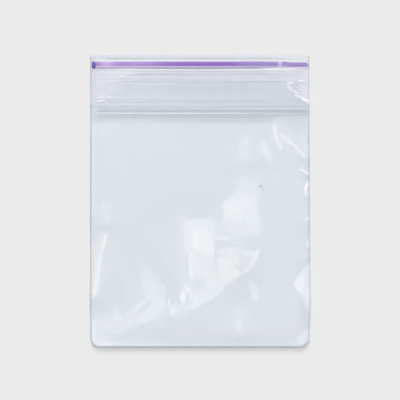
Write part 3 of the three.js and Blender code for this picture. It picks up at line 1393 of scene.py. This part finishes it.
@dataclass
class WhiteRidges:
    """Slim beads along the crests of a sheet's sharpest folds: white ones paint the folds' brightest
    highlights.
    """

    name: str
    ridges: tuple[Ridge, ...]
    sheet: np.ndarray  # the sheet's grid of points, rows from the mouth down
    height: float = 0.03
    lift: float = 0.08
    stations: int = 40
    sides: int = 8
    rounding: int = 7  # stations over which a corner of the line is eased
    bluntness: float = 0.6  # exponent of the width's run along a ridge; less is blunter
    least: float = 0.01  # half width that is left at its tips

    def level(self, plan: np.ndarray) -> np.ndarray:
        """Height of the sheet at each place, between the four grid points round it.

        Args:
            plan: places as … × 2.

        Returns:
            The heights.
        """
        rows, columns = self.sheet.shape[:2]
        row = np.interp(-plan[..., 1], -self.sheet[:, columns // 2, 1], np.arange(rows))
        half = self.sheet[np.rint(row).astype(int), -1, 0]
        column = (plan[..., 0] / half + 1.0) / 2.0 * (columns - 1)
        r = np.clip(row.astype(int), 0, rows - 2)
        c = np.clip(column.astype(int), 0, columns - 2)
        down, right = row - r, column - c
        z = self.sheet[..., 2]
        upper = z[r, c] * (1.0 - right) + z[r, c + 1] * right
        lower = z[r + 1, c] * (1.0 - right) + z[r + 1, c + 1] * right
        return upper * (1.0 - down) + lower * down

    def rings(self, ridge: Ridge) -> np.ndarray:
        """Sections of one ridge: flat ovals that shrink to nothing at its ends.

        Args:
            ridge: its line and width.

        Returns:
            stations × sides × 3 points.
        """
        line = np.array(ridge.line)
        run = np.concatenate([[0.0], np.cumsum(np.hypot(*np.diff(line, axis=0).T))])
        LOG.debug("%s: %.1f mm long", ridge.name, run[-1])
        part = np.linspace(0.0, 1.0, self.stations)
        path = np.stack([np.interp(part * run[-1], run, line[:, axis]) for axis in range(2)], -1)
        padded = np.pad(path, ((self.rounding // 2,) * 2, (0, 0)), "reflect", reflect_type="odd")
        kernel = np.full(self.rounding, 1.0 / self.rounding)
        path = np.stack([np.convolve(padded[:, axis], kernel, "valid") for axis in range(2)], -1)
        half = ridge.width / 2.0 * np.maximum(np.sin(np.pi * part), 0.0) ** self.bluntness + self.least
        plan, circle = ovals(path, half, self.sides)
        z = self.level(plan) + self.lift + self.height * (half / half.max())[:, None] * circle
        return np.concatenate([plan, z[..., None]], -1)

    def build(self, finish: bpy.types.Material) -> None:
        """Makes all ridges of the sheet as one piece.

        Args:
            finish: the beads' material.
        """
        points, faces = zip(*(carried_profile(self.rings(ridge)) for ridge in self.ridges))
        counts = np.cumsum([0] + [len(bar) for bar in points[:-1]])
        faces = [bar + count for bar, count in zip(faces, counts)]
        shell = np.concatenate(points), np.concatenate(faces)
        Piece(self.name, "clear_film", "bag_film", finish).make(shell)


# ---- the whole bag ----------------------------------------------------------------------------------------
# Over the zip, a crease's tone paints light into the film's colour: its light lines and patches are painted
# highlights, and its dark lines and strips painted shade and shadow beside the lip, the ribs and the tracks.
HEAD_CREASES: tuple[Crease, ...] = (
    Facet("upper_light", 0.42, ((6, 89.5, 4), (62, 89.5, 4), (62, 80.5, 3), (6, 81.5, 3))),
    Facet("left_upper", 0.43, ((-76, 90, 3), (-48, 88, 6), (-46, 82, 4), (-76, 80, 3)), tone=0.6),
    Facet("left_corner", 0.42,
        ((-76, 81, 2), (-51, 80, 2), (-54, 75, 5), (-63, 70, 3), (-76, 66, 3)),
        tone=0.6,
    ),
    Facet("right_upper", 0.54, ((50, 89.5, 5), (76, 89.5, 2), (76, 80, 4), (58, 80.5, 4)), tone=0.6),
    Facet("right_corner", 0.48, ((67, 79.5, 4), (76, 79.5, 3), (76, 64.5, 3), (68.5, 68.5, 3)), tone=0.7),
    Facet("arc_start", 0.6, ((57, 85, 2), (64, 85, 2), (63.5, 78, 1.5), (60, 77.5, 2)), tone=0.6),
    Streak("lip_line", 0.0, ((-66, 96.8), (60, 96.9), (74, 96.4)), 1.2, 4, tone=-1),
    Streak("lip_light", 0.8, ((-73, 95.5), (60, 95.6), (74, 95.1)), 1.0, 4, tone=1),
    Streak("bed_glow", 0.62, ((-70, 88.2), (73, 88)), 2.8, 8, tone=1),
    Streak("bed_glow_left", 0.8, ((-73, 88.7), (-38, 88.7)), 4, 10, tone=1),
    Streak("bed_glow_right", 0.8, ((40, 88.6), (74, 88.3)), 4, 10, tone=1),
    Streak("bed_line", 0.0, ((-38, 90.4), (40, 90.3), (73, 90)), 0.8, 5, tone=-1),
    Streak("rib_1", 0.0, ((-69, 86.6), (-64, 86.6)), 1.0, 2, tone=-0.8),
    Streak("rib_1_run", 0.0, ((-46, 86.4), (20, 86.4), (60, 86.2), (69, 85.7)), 0.8, 5, tone=-1),
    Streak("rib_2_light", 0.5, ((-52, 83.5), (-20, 83.6), (10, 83.4)), 0.9, 10, tone=0.6),
    Streak("rib_3", 0.0, ((-58, 81.2), (0, 81.2), (69, 80.9)), 1.0, 6, tone=-1),
    Streak("rib_3_light", 0.6, ((-57, 79.8), (-10, 79.9)), 0.9, 8, tone=0.9),
    Streak("plain_dark", 0.0, ((-40, 76), (46, 76)), 10, 20, tone=-0.2),
    Streak("rib_4_light", 0.4, ((-52, 72.2), (60, 72.2)), 0.9, 12, tone=0.3),
    Streak("rib_5_light", 0.4, ((-62, 69.8), (60, 69.8)), 0.9, 8, tone=0.4),
    Streak("rib_6", 0.0, ((-68, 67.7), (-24, 67.7), (50, 67.4)), 1.1, 8, tone=-0.6),
    Streak("rib_6_light", 0.3, ((-60, 66), (70, 65.8)), 1.2, 8, tone=0.2),
    Streak("track_dark", 0.0, ((-70.5, 61.4), (73.5, 61.2)), 3.5, 2, tone=-0.9),
    Streak("track_light", 0.7, ((-70.5, 59.4), (38, 59.4), (73, 59.1)), 0.6, 3, tone=1),
    Facet("left_foot", 0.0, ((-76, 64, 1), (-71, 64, 1.5), (-70.5, 58.5, 1.5), (-76, 58, 1)), tone=-0.5),
    Streak("right_arc_top", 0.9, ((60, 79), (61.5, 76.5), (64, 74.2)), 2.6, 2.5, tone=1),
    Streak("right_arc", 0.7, ((64, 74.2), (67, 72.2), (69.5, 70.5)), 1.8, 1.5, tone=0.8),
    Streak("right_tail", 0.9, ((68.5, 70.2), (71.6, 68.6), (74.8, 66.7)), 2.0, 1.2, tone=1),
)
# white beads that paint the brightest highlight lines over the zip
HEAD_RIDGES: tuple[Ridge, ...] = (
    Ridge("lip", ((-71, 95.5), (-34, 95.6), (34.5, 95.6), (55, 95.4), (73.5, 94.7)), 0.8),
    Ridge("bed", ((-70, 89.1), (-34, 89.3), (34.5, 89.3), (74.5, 88.9)), 1.3),
    Ridge("bar_foot_left", ((-73, 90.4), (-30, 90.3)), 0.8),
    Ridge("bar_foot_right", ((40, 90.2), (74.4, 90.1)), 0.8),
    Ridge("track", ((-70.5, 59.3), (-34, 59.4), (20.8, 59.3), (39.5, 59.3)), 0.35),
    Ridge("arc", ((62.4, 76.2), (63.6, 74.8), (65.4, 73.6), (67.8, 72.9)), 0.7),
    Ridge("hook", ((64.4, 71.5), (67.4, 71.1), (69.5, 70)), 0.9),
    Ridge("hook_back", ((63.3, 69.6), (66, 69.5), (69, 69.6)), 0.5),
    Ridge("tail", ((69.5, 69.5), (71.6, 68.4), (74.2, 66.9)), 1.4),
    Ridge("dash_right", ((60, 79.9), (62.6, 80), (65.7, 79.9)), 0.8),
    Ridge("curl", ((67, 81.3), (70, 81.6), (72, 80.6)), 0.8),
    Ridge("edge_glint", ((69, 88.3), (71.6, 88.4), (74.5, 88.2)), 0.6),
    Ridge("dash_left", ((-55.4, 84.7), (-53.4, 84.9), (-51, 84.8)), 1.2),
    Ridge("rib_glint", ((-57, 79.8), (-50.5, 79.8), (-43, 79.9)), 0.6),
    Ridge("corner_nick", ((-71, 76.8), (-68.5, 77.8), (-65.5, 78.9)), 0.4),
    Ridge("squiggle",
        ((-71, 67.8), (-69.2, 67.3), (-67.4, 67.8), (-66, 68.7), (-64.4, 69.1), (-62.6, 68.9)), 0.9,
    ),
    Ridge("squiggle_over", ((-68.6, 70.1), (-67.4, 70.5), (-66.3, 70.3)), 1.0),
    Ridge("squiggle_end", ((-63, 70.4), (-60.4, 70.5)), 1.1),
    Ridge("squiggle_under", ((-67.7, 66.5), (-66, 65.6)), 0.7),
    Ridge("squiggle_far", ((-54.4, 68.8), (-53.5, 69.3), (-52.4, 69.5)), 1.0),
)
# white beads that paint the brightest highlight lines on the pouch
POUCH_RIDGES: tuple[Ridge, ...] = (
    Ridge("fold_3", ((69, 21.4), (71.6, 19.7), (74.7, 17.2)), 0.7),
    Ridge("fold_4", ((74, 11.7), (72.4, 8.2), (72.5, 3.4)), 0.9),
    Ridge("nick_1", ((71.6, -13.5), (74.5, -13)), 0.5),
    Ridge("nick_2", ((73.4, -27.5), (74, -32)), 0.4),
    Ridge("foot_nick", ((-20.8, -68), (-20.8, -72)), 0.55),
)
FILM_SPECK = Ridge("film_speck", ((41.1, 9.6), (42.6, 9.6)), 1.7)
# A crease's tone paints light into the film's colour: a positive tone is painted highlight over the glint
# that its lean gives, a negative one painted shade.
POUCH_CREASES: tuple[Crease, ...] = (
    # the panel's right half: two round facets, one above the other
    Facet("upper_glow", 0.45, ((25, 16.5, 10), (39.5, 16.5, 5), (42, 0, 3.5), (21.5, 0, 8))),
    Facet("upper_tail", 0.5,
        ((15, -9.5, 3), (41, -9.5, 4), (41.5, -24, 2), (34, -25, 2), (23.5, -25.5, 1.5), (19.5, -22, 1.5),
        (15.5, -13.5, 1.5)),
    ),
    Facet("upper_face", 0.57,
        ((15, -2, 3.5), (21.5, 4, 6), (38, 5, 5.5), (41, -4, 4), (40, -13.5, 5), (27.5, -15.5, 5),
        (18.5, -14, 3.5), (15.5, -8, 2.5)),
    ),
    Facet("upper_core", 0.66,
        ((16, -2, 2.5), (23, -0.5, 4), (32, -0.5, 6), (33, -7.5, 6), (28.5, -12.5, 5), (21, -11.5, 3.5),
        (16.5, -6, 2)),
    ),
    Facet("left_soft", 0.36, ((-16, -10, 6), (-8, -10, 6), (-7, -62, 5), (-14, -62, 6))),
    Facet("left_face", 0.58,
        ((-11, -13, 4), (-2.5, -12, 3.5), (7.5, -12.5, 2), (10.5, -16, 1.5), (11.5, -23.5, 1.5),
        (10, -38.5, 1.5), (3.5, -39, 2.5), (-6.5, -39, 3.5), (-10.5, -32.5, 2.5)),
    ),
    Facet("left_core", 0.8,
        ((-6.5, -21.5, 4), (-2, -19, 3.5), (6.5, -22.5, 2.5), (8.5, -27.5, 1.5), (9.5, -34.5, 1),
        (10, -38.5, 1), (3.5, -36, 2), (-5.5, -32.5, 3.5)),
    ),
    Facet("wedge", 0.4,
        ((9, -13.5, 1.5), (14.5, -12.5, 1.5), (20, -22, 1), (15.5, -24.5, 1.5), (11.5, -22.5, 1.5),
        (10, -18, 1.5)),
        tone=0.1,
    ),
    Facet("bridge", 0.56,
        ((7.5, -25.5, 1.5), (12, -23.5, 1.5), (18, -24, 1.5), (23.5, -25, 1.5), (18, -28, 1.5),
        (10, -27.5, 1.5)),
    ),
    # the column that runs down from the left facet to the bright spot
    Facet("column", 0.55,
        ((-7.5, -34.5, 2), (3.5, -36.5, 2), (9.5, -38.5, 1.5), (11.5, -49.5, 1.5), (11.5, -66, 2),
        (-7.5, -75, 2)),
    ),
    Facet("column_wing", 0.5,
        ((10, -42.5, 1.5), (14.5, -52.5, 1), (18.5, -59.5, 1), (11, -66, 1), (-1, -73, 1), (-7.5, -74.5, 2),
        (-6.5, -55, 4)),
    ),
    Streak("column_edge", 0.9, ((-6.5, -33), (-6.5, -55)), 1.2, 4, tone=0.8),
    Facet("column_light", 0.6, ((5, -53, 2), (9.5, -53, 1), (10, -67, 1), (4.5, -68.5, 1.5))),
    Facet("column_dark", 0.3,
        ((-6.5, -54, 2), (3.5, -54, 2), (3.5, -59.5, 2), (-1, -62, 2), (-6, -59.5, 2)),
        tone=0.1,
    ),
    Facet("column_foot", 0.3,
        ((-7.5, -68, 2), (-1, -71.5, 1.5), (-6.5, -75.5, 1.5), (-13.5, -77.5, 1.5), (-20.5, -82.5, 1.5),
        (-20.5, -74, 2)),
        tone=0.0,
    ),
    Facet("spot_light", 0.75, ((-11, -57.5, 1.5), (-6.5, -59, 1.5), (-6.5, -64, 1.5), (-9.5, -63, 1.5))),
    Facet("spot", 1.0,
        ((-11.5, -61, 1), (-8.5, -66, 1), (-10.5, -70.5, 1), (-14, -67.5, 1), (-13, -63, 1)),
        tone=0.8,
    ),
    # the leaf: a pointed facet with a bright rim, under a dark band
    Facet("spike", 0.42,
        ((7, -40, 1), (10.5, -41, 1), (12.5, -46, 1), (14.5, -52.5, 0.8), (10.5, -48, 1)),
        tone=0.1,
    ),
    Facet("leaf_low", 0.56,
        ((11.5, -38.5, 1.5), (15.5, -38.5, 1), (22, -44, 1), (29.5, -51, 0.8), (22, -55.5, 1),
        (17.5, -59, 1), (14.5, -53, 0.8), (12, -44, 1)),
        tone=0.8,
    ),
    Facet("leaf_left", 0.52,
        ((19, -32.5, 1), (23.5, -31.5, 1), (29.5, -32, 2), (27.5, -42.5, 2), (27.5, -49.5, 0.8),
        (19.5, -42, 1), (11, -36.5, 1.5), (12, -33.5, 1.5)),
    ),
    Facet("leaf_light", 0.52,
        ((28.5, -32, 1), (33.5, -34, 0.8), (41.5, -32.5, 1), (38.5, -38, 2), (34.5, -40, 2.5),
        (29, -38.5, 2.5)),
    ),
    Facet("leaf_dark", 0.28,
        ((28.5, -39, 2.5), (34.5, -38, 2), (33.5, -44, 1.5), (29.5, -49.5, 1.5), (27.5, -45.5, 2)),
        tone=0.1,
    ),
    Facet("leaf_rim", 0.6,
        ((41.7, -32, 0.8), (40, -38.5, 0.8), (37.2, -45, 0.8), (33.8, -45.2, 1), (35.5, -39, 1.2),
        (38.6, -33.6, 1.2)),
        tone=0.8,
    ),
    Facet("leaf_rim_low", 0.52,
        ((37, -44.3, 0.8), (31.8, -49.8, 0.8), (29.3, -51.8, 0.8), (30.7, -47, 1), (33.8, -43, 1)),
        tone=0.8,
    ),
    Streak("leaf_fold", 0.8, ((18, -40), (23, -45.5), (28.5, -51)), 1, 2, tone=0.9),
    Facet("band", 0.3,
        ((18.5, -28, 1.5), (23.5, -25, 2), (41.5, -24.5, 1.5), (41.5, -32.5, 0.8), (36, -34, 0.8),
        (29.5, -32, 0.8), (23.5, -31, 0.8), (19, -30.5, 1.5)),
        tone=0.3,
    ),
    Facet("band_deep", -0.3,
        ((29.5, -26, 3.5), (41, -25.5, 1.5), (41, -33, 0.8), (36, -34, 0.8), (30.5, -32, 0.8)),
        tone=0.3,
    ),
    Facet("band_end", -0.3,
        ((10, -29, 2), (15.5, -28, 2), (18.5, -29.5, 2), (17.5, -32.5, 2), (11, -33.5, 2)),
        tone=0.5,
    ),
    Facet("beyond", -0.3,
        ((43.5, -34.5, 2), (31, -53, 1), (18, -60.5, 1), (4.5, -69.5, 1), (-9.5, -77.5, 1.5), (0, -84, 6),
        (22, -73, 6), (42.5, -58.5, 6)),
        tone=-0.1,
    ),
    # single glints to the right of the leaf and below it
    Facet("glint_upper", 0.47,
        ((32, -55.5, 0.8), (39, -57, 1), (40, -62.5, 1.5), (40, -68.5, 1.5), (36.5, -69.5, 1),
        (34.5, -63, 0.8)),
    ),
    Facet("glint_lower", 0.28,
        ((25, -72, 1.5), (29.5, -76, 1.5), (30.5, -82.5, 1.5), (28.5, -85, 1.5), (24, -81, 1)),
        tone=0.1,
    ),
    Facet("glint_tip", 0.36,
        ((23.5, -80, 1), (28.5, -83, 1), (29, -89, 1), (28.5, -93.5, 0.8), (25, -87, 0.8)),
        tone=0.2,
    ),
    # the lower left: a cloudy patch, two upright strips and a broad pale fold to the corner
    Facet("cloud", 0.45,
        ((-41.5, -44, 10), (-33, -48, 7), (-27.5, -57.5, 4), (-26.5, -68, 3.5), (-33, -70, 2),
        (-37.5, -66.5, 4), (-40.5, -57.5, 7)),
    ),
    Facet("cloud_core", 0.55, ((-35, -62, 4), (-29.5, -62, 3.5), (-28.5, -68, 2.5), (-34, -68, 3.5))),
    Facet("strip", 0.42,
        ((-27.5, -57.5, 2), (-22.5, -58.5, 1.5), (-23, -68.5, 2), (-22.5, -77, 3.5), (-27.5, -77, 2)),
    ),
    Facet("strip_dark", 0.1,
        ((-22, -57.5, 1.5), (-18.5, -57.5, 2), (-19, -71.5, 1.5), (-22.5, -71.5, 1.5)),
        tone=-0.1,
    ),
    Streak("nick_light", 0.8, ((-20.8, -67.5), (-20.8, -72)), 1.1, 1.4, tone=0.8),
    Streak("nick_dark", 0, ((-19.7, -68), (-19.7, -72)), 1, 1.4, tone=-0.8),
    Facet("foot_spot", 0.3, ((-19, -77, 1), (-16.5, -77, 1), (-16.5, -81.5, 1), (-19, -81.5, 1)), tone=-0.2),
    Facet("pale_fold", 0.35,
        ((-74.5, -81, 2), (-70.5, -75.5, 2), (-59.5, -77, 2), (-41, -71.5, 2.5), (-33, -70, 2.5),
        (-24.5, -74, 2.5), (-24.5, -79.5, 4), (-37, -84, 5.5), (-52, -94.5, 5.5), (-63, -100, 4),
        (-72, -100, 2)),
        tone=0.35,
    ),
    Facet("pale_corner", 0.35, ((-75.5, -93, 2), (-62, -93, 4), (-61, -100, 2), (-73, -100, 1)), tone=0.6),
    Facet("pale_fold_upper", 0.52,
        ((-52, -78.5, 3), (-46, -72, 3), (-40.5, -68.5, 3), (-33, -63.5, 3), (-27.5, -64.5, 3),
        (-25, -73, 4), (-27.5, -81, 4), (-42.5, -85, 4), (-49.5, -84, 4)),
        tone=0.3,
    ),
    Facet("pale_fold_core", 0.34,
        ((-65.5, -86.5, 7), (-51.5, -78.5, 5.5), (-38.5, -74, 5.5), (-42.5, -85, 7), (-58, -94.5, 7)),
        tone=0.5,
    ),
    Facet("pale_fold_peak", 0.5, ((-58, -71.7, 0.7), (-55.5, -76, 1), (-52, -82.5, 3.5), (-59, -82.5, 1.5))),
    Streak("pale_fold_side", 0.7, ((-72.5, -81), (-72.5, -92), (-71.5, -99)), 1.4, 4, tone=0.8),
    Facet("fold_mark", -0.3, ((-32, -69.5, 1), (-34, -69, 1), (-41.5, -75.5, 1), (-40, -77, 1)), tone=0),
    Facet("left_dark", -0.2,
        ((-68, -68.5, 2), (-64.5, -52, 2), (-53.5, -48, 5.5), (-50, -68.5, 4), (-59, -70.5, 1.5)),
        tone=-0.05,
    ),
    # the long blade of light beside the left seal
    Facet("blade_top", 0.39, ((-68, -2, 4), (-60, -0.5, 4), (-61.5, -15, 4), (-67, -18, 4))),
    Facet("blade", 0.12,
        ((-63, -21.5, 1.5), (-64, -30, 1), (-67, -42.5, 1), (-68, -54, 1), (-71, -67.5, 0.8),
        (-74.5, -67.5, 0.8), (-75, -48, 1.5), (-74.5, -31, 2), (-68, -23, 2.5)),
        tone=0.95,
    ),
    Streak("blade_upper", 0.7, ((-64.2, -21.5), (-65.5, -29.5), (-67.8, -37)), 3, 3.5, tone=1),
    Streak("blade_lower", 0.64,
        ((-68.7, -35.5), (-69.4, -45.5), (-70.4, -55), (-72.2, -67.5)), 5, 3.5, tone=1,
    ),
    Streak("seal_light", 0.45, ((-72.7, 56.5), (-72.7, -20.5)), 1, 14, tone=0.4),
    # beside the right seal, from the corner up
    Facet("corner", 0.42,
        ((66.5, -94, 1), (71, -90, 0.8), (75, -87.5, 0.8), (75, -95, 1), (71.5, -99, 0.8), (68, -97, 1)),
        tone=0.6,
    ),
    Facet("side_low", 0.4, ((68, -66, 2), (75.5, -68, 1.5), (75.5, -74.5, 3), (72, -73, 3))),
    Facet("side_patch", 0.56,
        ((75.5, -42.5, 1.5), (71, -44.5, 1.5), (68, -50, 1.5), (63.5, -55, 1), (64, -59.5, 1.5),
        (68, -64.5, 1.5), (71.5, -68.5, 1.5), (75.5, -72, 1.5)),
    ),
    Facet("side_core", 0.78,
        ((66, -54, 1.5), (71, -51, 1.5), (72.5, -61, 1.5), (68, -64, 1.5), (65, -58.5, 1.5)),
        tone=0.8,
    ),
    Streak("side_nick", 1.0, ((71, -13.5), (74.7, -13)), 1.8, 1, tone=0.9),
    Streak("side_nick_low", 1.0, ((73.5, -27.5), (74, -32.5)), 1.6, 1, tone=0.9),
    Streak("side_soft", 0.5, ((72.5, -34.5), (72.5, -40)), 1.7, 2, tone=0.6),
    Streak("side_mark", 0, ((72.3, 39), (74, 41.2)), 1.1, 0.7, tone=-1),
    # the folds that run from the zip to the right seal
    Streak("fold_1", 0.8, ((51.2, 53), (51.8, 46), (53.4, 40.5), (56.8, 33)), 3.2, 4, tone=1),
    Streak("fold_2", 0.8, ((57.2, 43.2), (62, 39.8), (66, 36.4), (69.2, 33), (73, 27.8)), 2.6, 4, tone=1),
    Facet("fold_2_soft", 0.5,
        ((55, 45.5, 2), (58.5, 45.5, 2), (64.5, 40, 2), (62.5, 37, 2), (56, 40.5, 2)),
        tone=0.9,
    ),
    Streak("fold_3", 0.9, ((68, 21.5), (71.5, 19.5), (75, 17.2)), 1.6, 2, tone=1),
    Streak("fold_4", 1.0, ((74.2, 13), (72.4, 8.2), (72.7, 2)), 2.1, 2, tone=1),
    Facet("cloud_1", 0.46, ((27, 44, 7), (35, 44, 7), (34.5, 27.5, 7), (27.5, 27.5, 7))),
    Facet("cloud_2", 0.5, ((40.5, 40.5, 4), (45.5, 40.5, 3.5), (51, 29, 2.5), (47, 25.5, 4), (42, 32.5, 4))),
    Facet("cloud_2_core", 0.55, ((42, 37, 2.5), (45.5, 38, 2.5), (49, 29.5, 2.5), (45.5, 28, 2.5))),
    Facet("cloud_3", 0.35,
        ((-70, 45.5, 4), (-65.5, 51.5, 4), (-57, 53.5, 4), (-57, 47.5, 5.5), (-63.5, 42, 5.5),
        (-68.5, 40, 4)),
        tone=0.4,
    ),
    # painted shade under the zip, and painted light and shade above the bottom fold: tone only, no lean
    Facet("fold_shade", 0, ((56.5, 56.5, 4), (73, 56.5, 2.5), (73, 45.5, 4), (67.5, 44, 4)), tone=-0.3),
    Facet("zip_shade", 0, ((-34, 60.5, 2), (55, 60.5, 2), (42.5, 54, 5), (-20.5, 53.5, 5)), tone=-0.9),
    Facet("zip_foot", 0, ((-76, 59, 1.5), (54, 59, 8), (50, 53.5, 6), (-76, 53.5, 4)), tone=-0.6),
    Facet("foot_light", 0, ((-22, -85, 4), (76, -85, 3), (76, -95, 2.5), (-22, -95, 4)), tone=0.6),
    Facet("foot_shade", 0,
        ((-27.5, -93.5, 4), (66, -93.5, 4), (69, -100, 1.5), (-27.5, -100, 1.5)),
        tone=-0.08,
    ),
)


class Plastic(Enum):
    """The bag's plastics and their finishes."""

    FILM = PlasticFinish("clear_film", 0.085, (0.76, 0.88, 1.0), (0.04, 0.1, 0.18), (1.0, 1.0, 1.0))
    BAND = PlasticFinish("clear_band", 0.11, (0.66, 0.66, 0.84))
    TRACK = PlasticFinish("clear_track", 0.1, (0.45, 0.55, 0.65))
    # white and half clear: paints the highlights of the sharpest folds
    PAINTED_HIGHLIGHT = PlasticFinish("painted_highlight_beads", 0.4, (0.97, 0.97, 1.0), milky_and_highlight=(1.0, 1.0, 1.0))
    SPECK = PlasticFinish("film_speck", 0.16, (0.12, 0.15, 0.22), (0.1, 0.12, 0.2), (0.3, 0.35, 0.45))
    # grey and nearly opaque, more than a clear rim is: the grey paints the dark line of the fold seen edge
    # on, and the rim casts a dark shadow
    BEAD = PlasticFinish("edge_bead", 0.7, (0.6, 0.62, 0.66))
    PURPLE = PlasticFinish(
        "purple_track",
        cover=1.0,
        clear=(0.24, 0.105, 0.48),
        deep_and_shade=(0.13, 0.06, 0.42),
        milky_and_highlight=(0.82, 0.72, 1.0),
        shine=0.32,
        refraction=1.5,
        roughness=(0.22, 0.34),
        rough_scale=(150.0, 600.0, 600.0),
        mottle=0.12,
        mottle_scale=(12.0, 1500.0, 1500.0),
        mottle_detail=2.0,
        line_scale=(12.0, 1500.0, 1500.0),
        line_depth=0.02,
    )


@dataclass
class ResealableBag:
    """The whole bag, built piece by piece from its sizes."""

    sizes: BagSizes
    studio: Studio

    def build(self) -> None:
        """Builds every piece, from the pouch to the zip."""
        finish = {plastic: plastic.value.material() for plastic in Plastic}
        sizes = self.sizes
        relief = HeadRelief(sizes)
        pouch = PouchFilm(sizes, relief, CreasedField(self.studio, POUCH_CREASES))
        panel = pouch.build(finish[Plastic.FILM])
        WhiteRidges("pouch_ridges", POUCH_RIDGES, panel).build(finish[Plastic.PAINTED_HIGHLIGHT])
        WhiteRidges("film_speck", (FILM_SPECK,), panel).build(finish[Plastic.SPECK])
        head_field = CreasedField(self.studio, HEAD_CREASES, ripple=0.25, ripple_grain=3.0, seed=7)
        head = HeadFilm(sizes, relief, head_field).build(finish[Plastic.FILM])
        WhiteRidges("head_ridges", HEAD_RIDGES, head).build(finish[Plastic.PAINTED_HIGHLIGHT])
        GripBand(sizes, relief).build(finish[Plastic.BAND])
        self.coloured_track(relief).build(finish[Plastic.PURPLE])
        self.clear_track(relief).build(finish[Plastic.TRACK])
        EdgeBead(sizes, pouch).build(finish[Plastic.BEAD])

    def coloured_track(self, relief: HeadRelief) -> ZipTrack:
        """The upper track, with a melted bulb at its left end and a crushed right end.

        Args:
            relief: the heights over the zip.

        Returns:
            The track.
        """
        return ZipTrack(
            name="zip_track_purple",
            slot="purple_plastic",
            relief=relief,
            middle=relief.coloured_middle,
            left=-self.sizes.half_width + 0.9,
            right=self.sizes.half_width - 0.5,
            width=4.35,
            top=relief.track_top - relief.track_cover,
            bulb_width=5.0,
            fullness=0.75,
            crush=relief.crush,
            crush_shift=relief.crush_shift,
            # painted light on the flank that faces the pouch, and painted highlights along the bar
            painted_flank_light=1.0,
            painted_highlight_spots=((-64.0, 12.0, 0.36), (-42.0, 34.0, 0.2), (55.0, 2.4, 0.6)),
        )

    def clear_track(self, relief: HeadRelief) -> ZipTrack:
        """The lower track, at the foot of the band.

        Args:
            relief: the heights over the zip.

        Returns:
            The track.
        """
        return ZipTrack(
            name="zip_track_clear",
            slot="clear_band",
            relief=relief,
            middle=relief.clear_middle,
            left=-self.sizes.half_width + 4.2,
            right=self.sizes.half_width - 0.8,
            width=4.6,
            top=relief.clear_top - relief.track_cover,
            groove=0.12,
        )


def corners(box: tuple[Vector, Vector]) -> list[list[float]]:
    """Turns a box into plain lists.

    Args:
        box: its lowest and highest corner.

    Returns:
        The same as lists of numbers.
    """
    return [list(map(float, corner)) for corner in box]


def main() -> None:
    """Builds the studio and the bag."""
    logging.basicConfig(level=logging.INFO, format="%(name)s: %(message)s")
    studio = Studio()
    studio.build()
    ResealableBag(BagSizes.from_frame(), studio).build()
    bpy.context.view_layer.update()


if __name__ == "__main__":
    main()
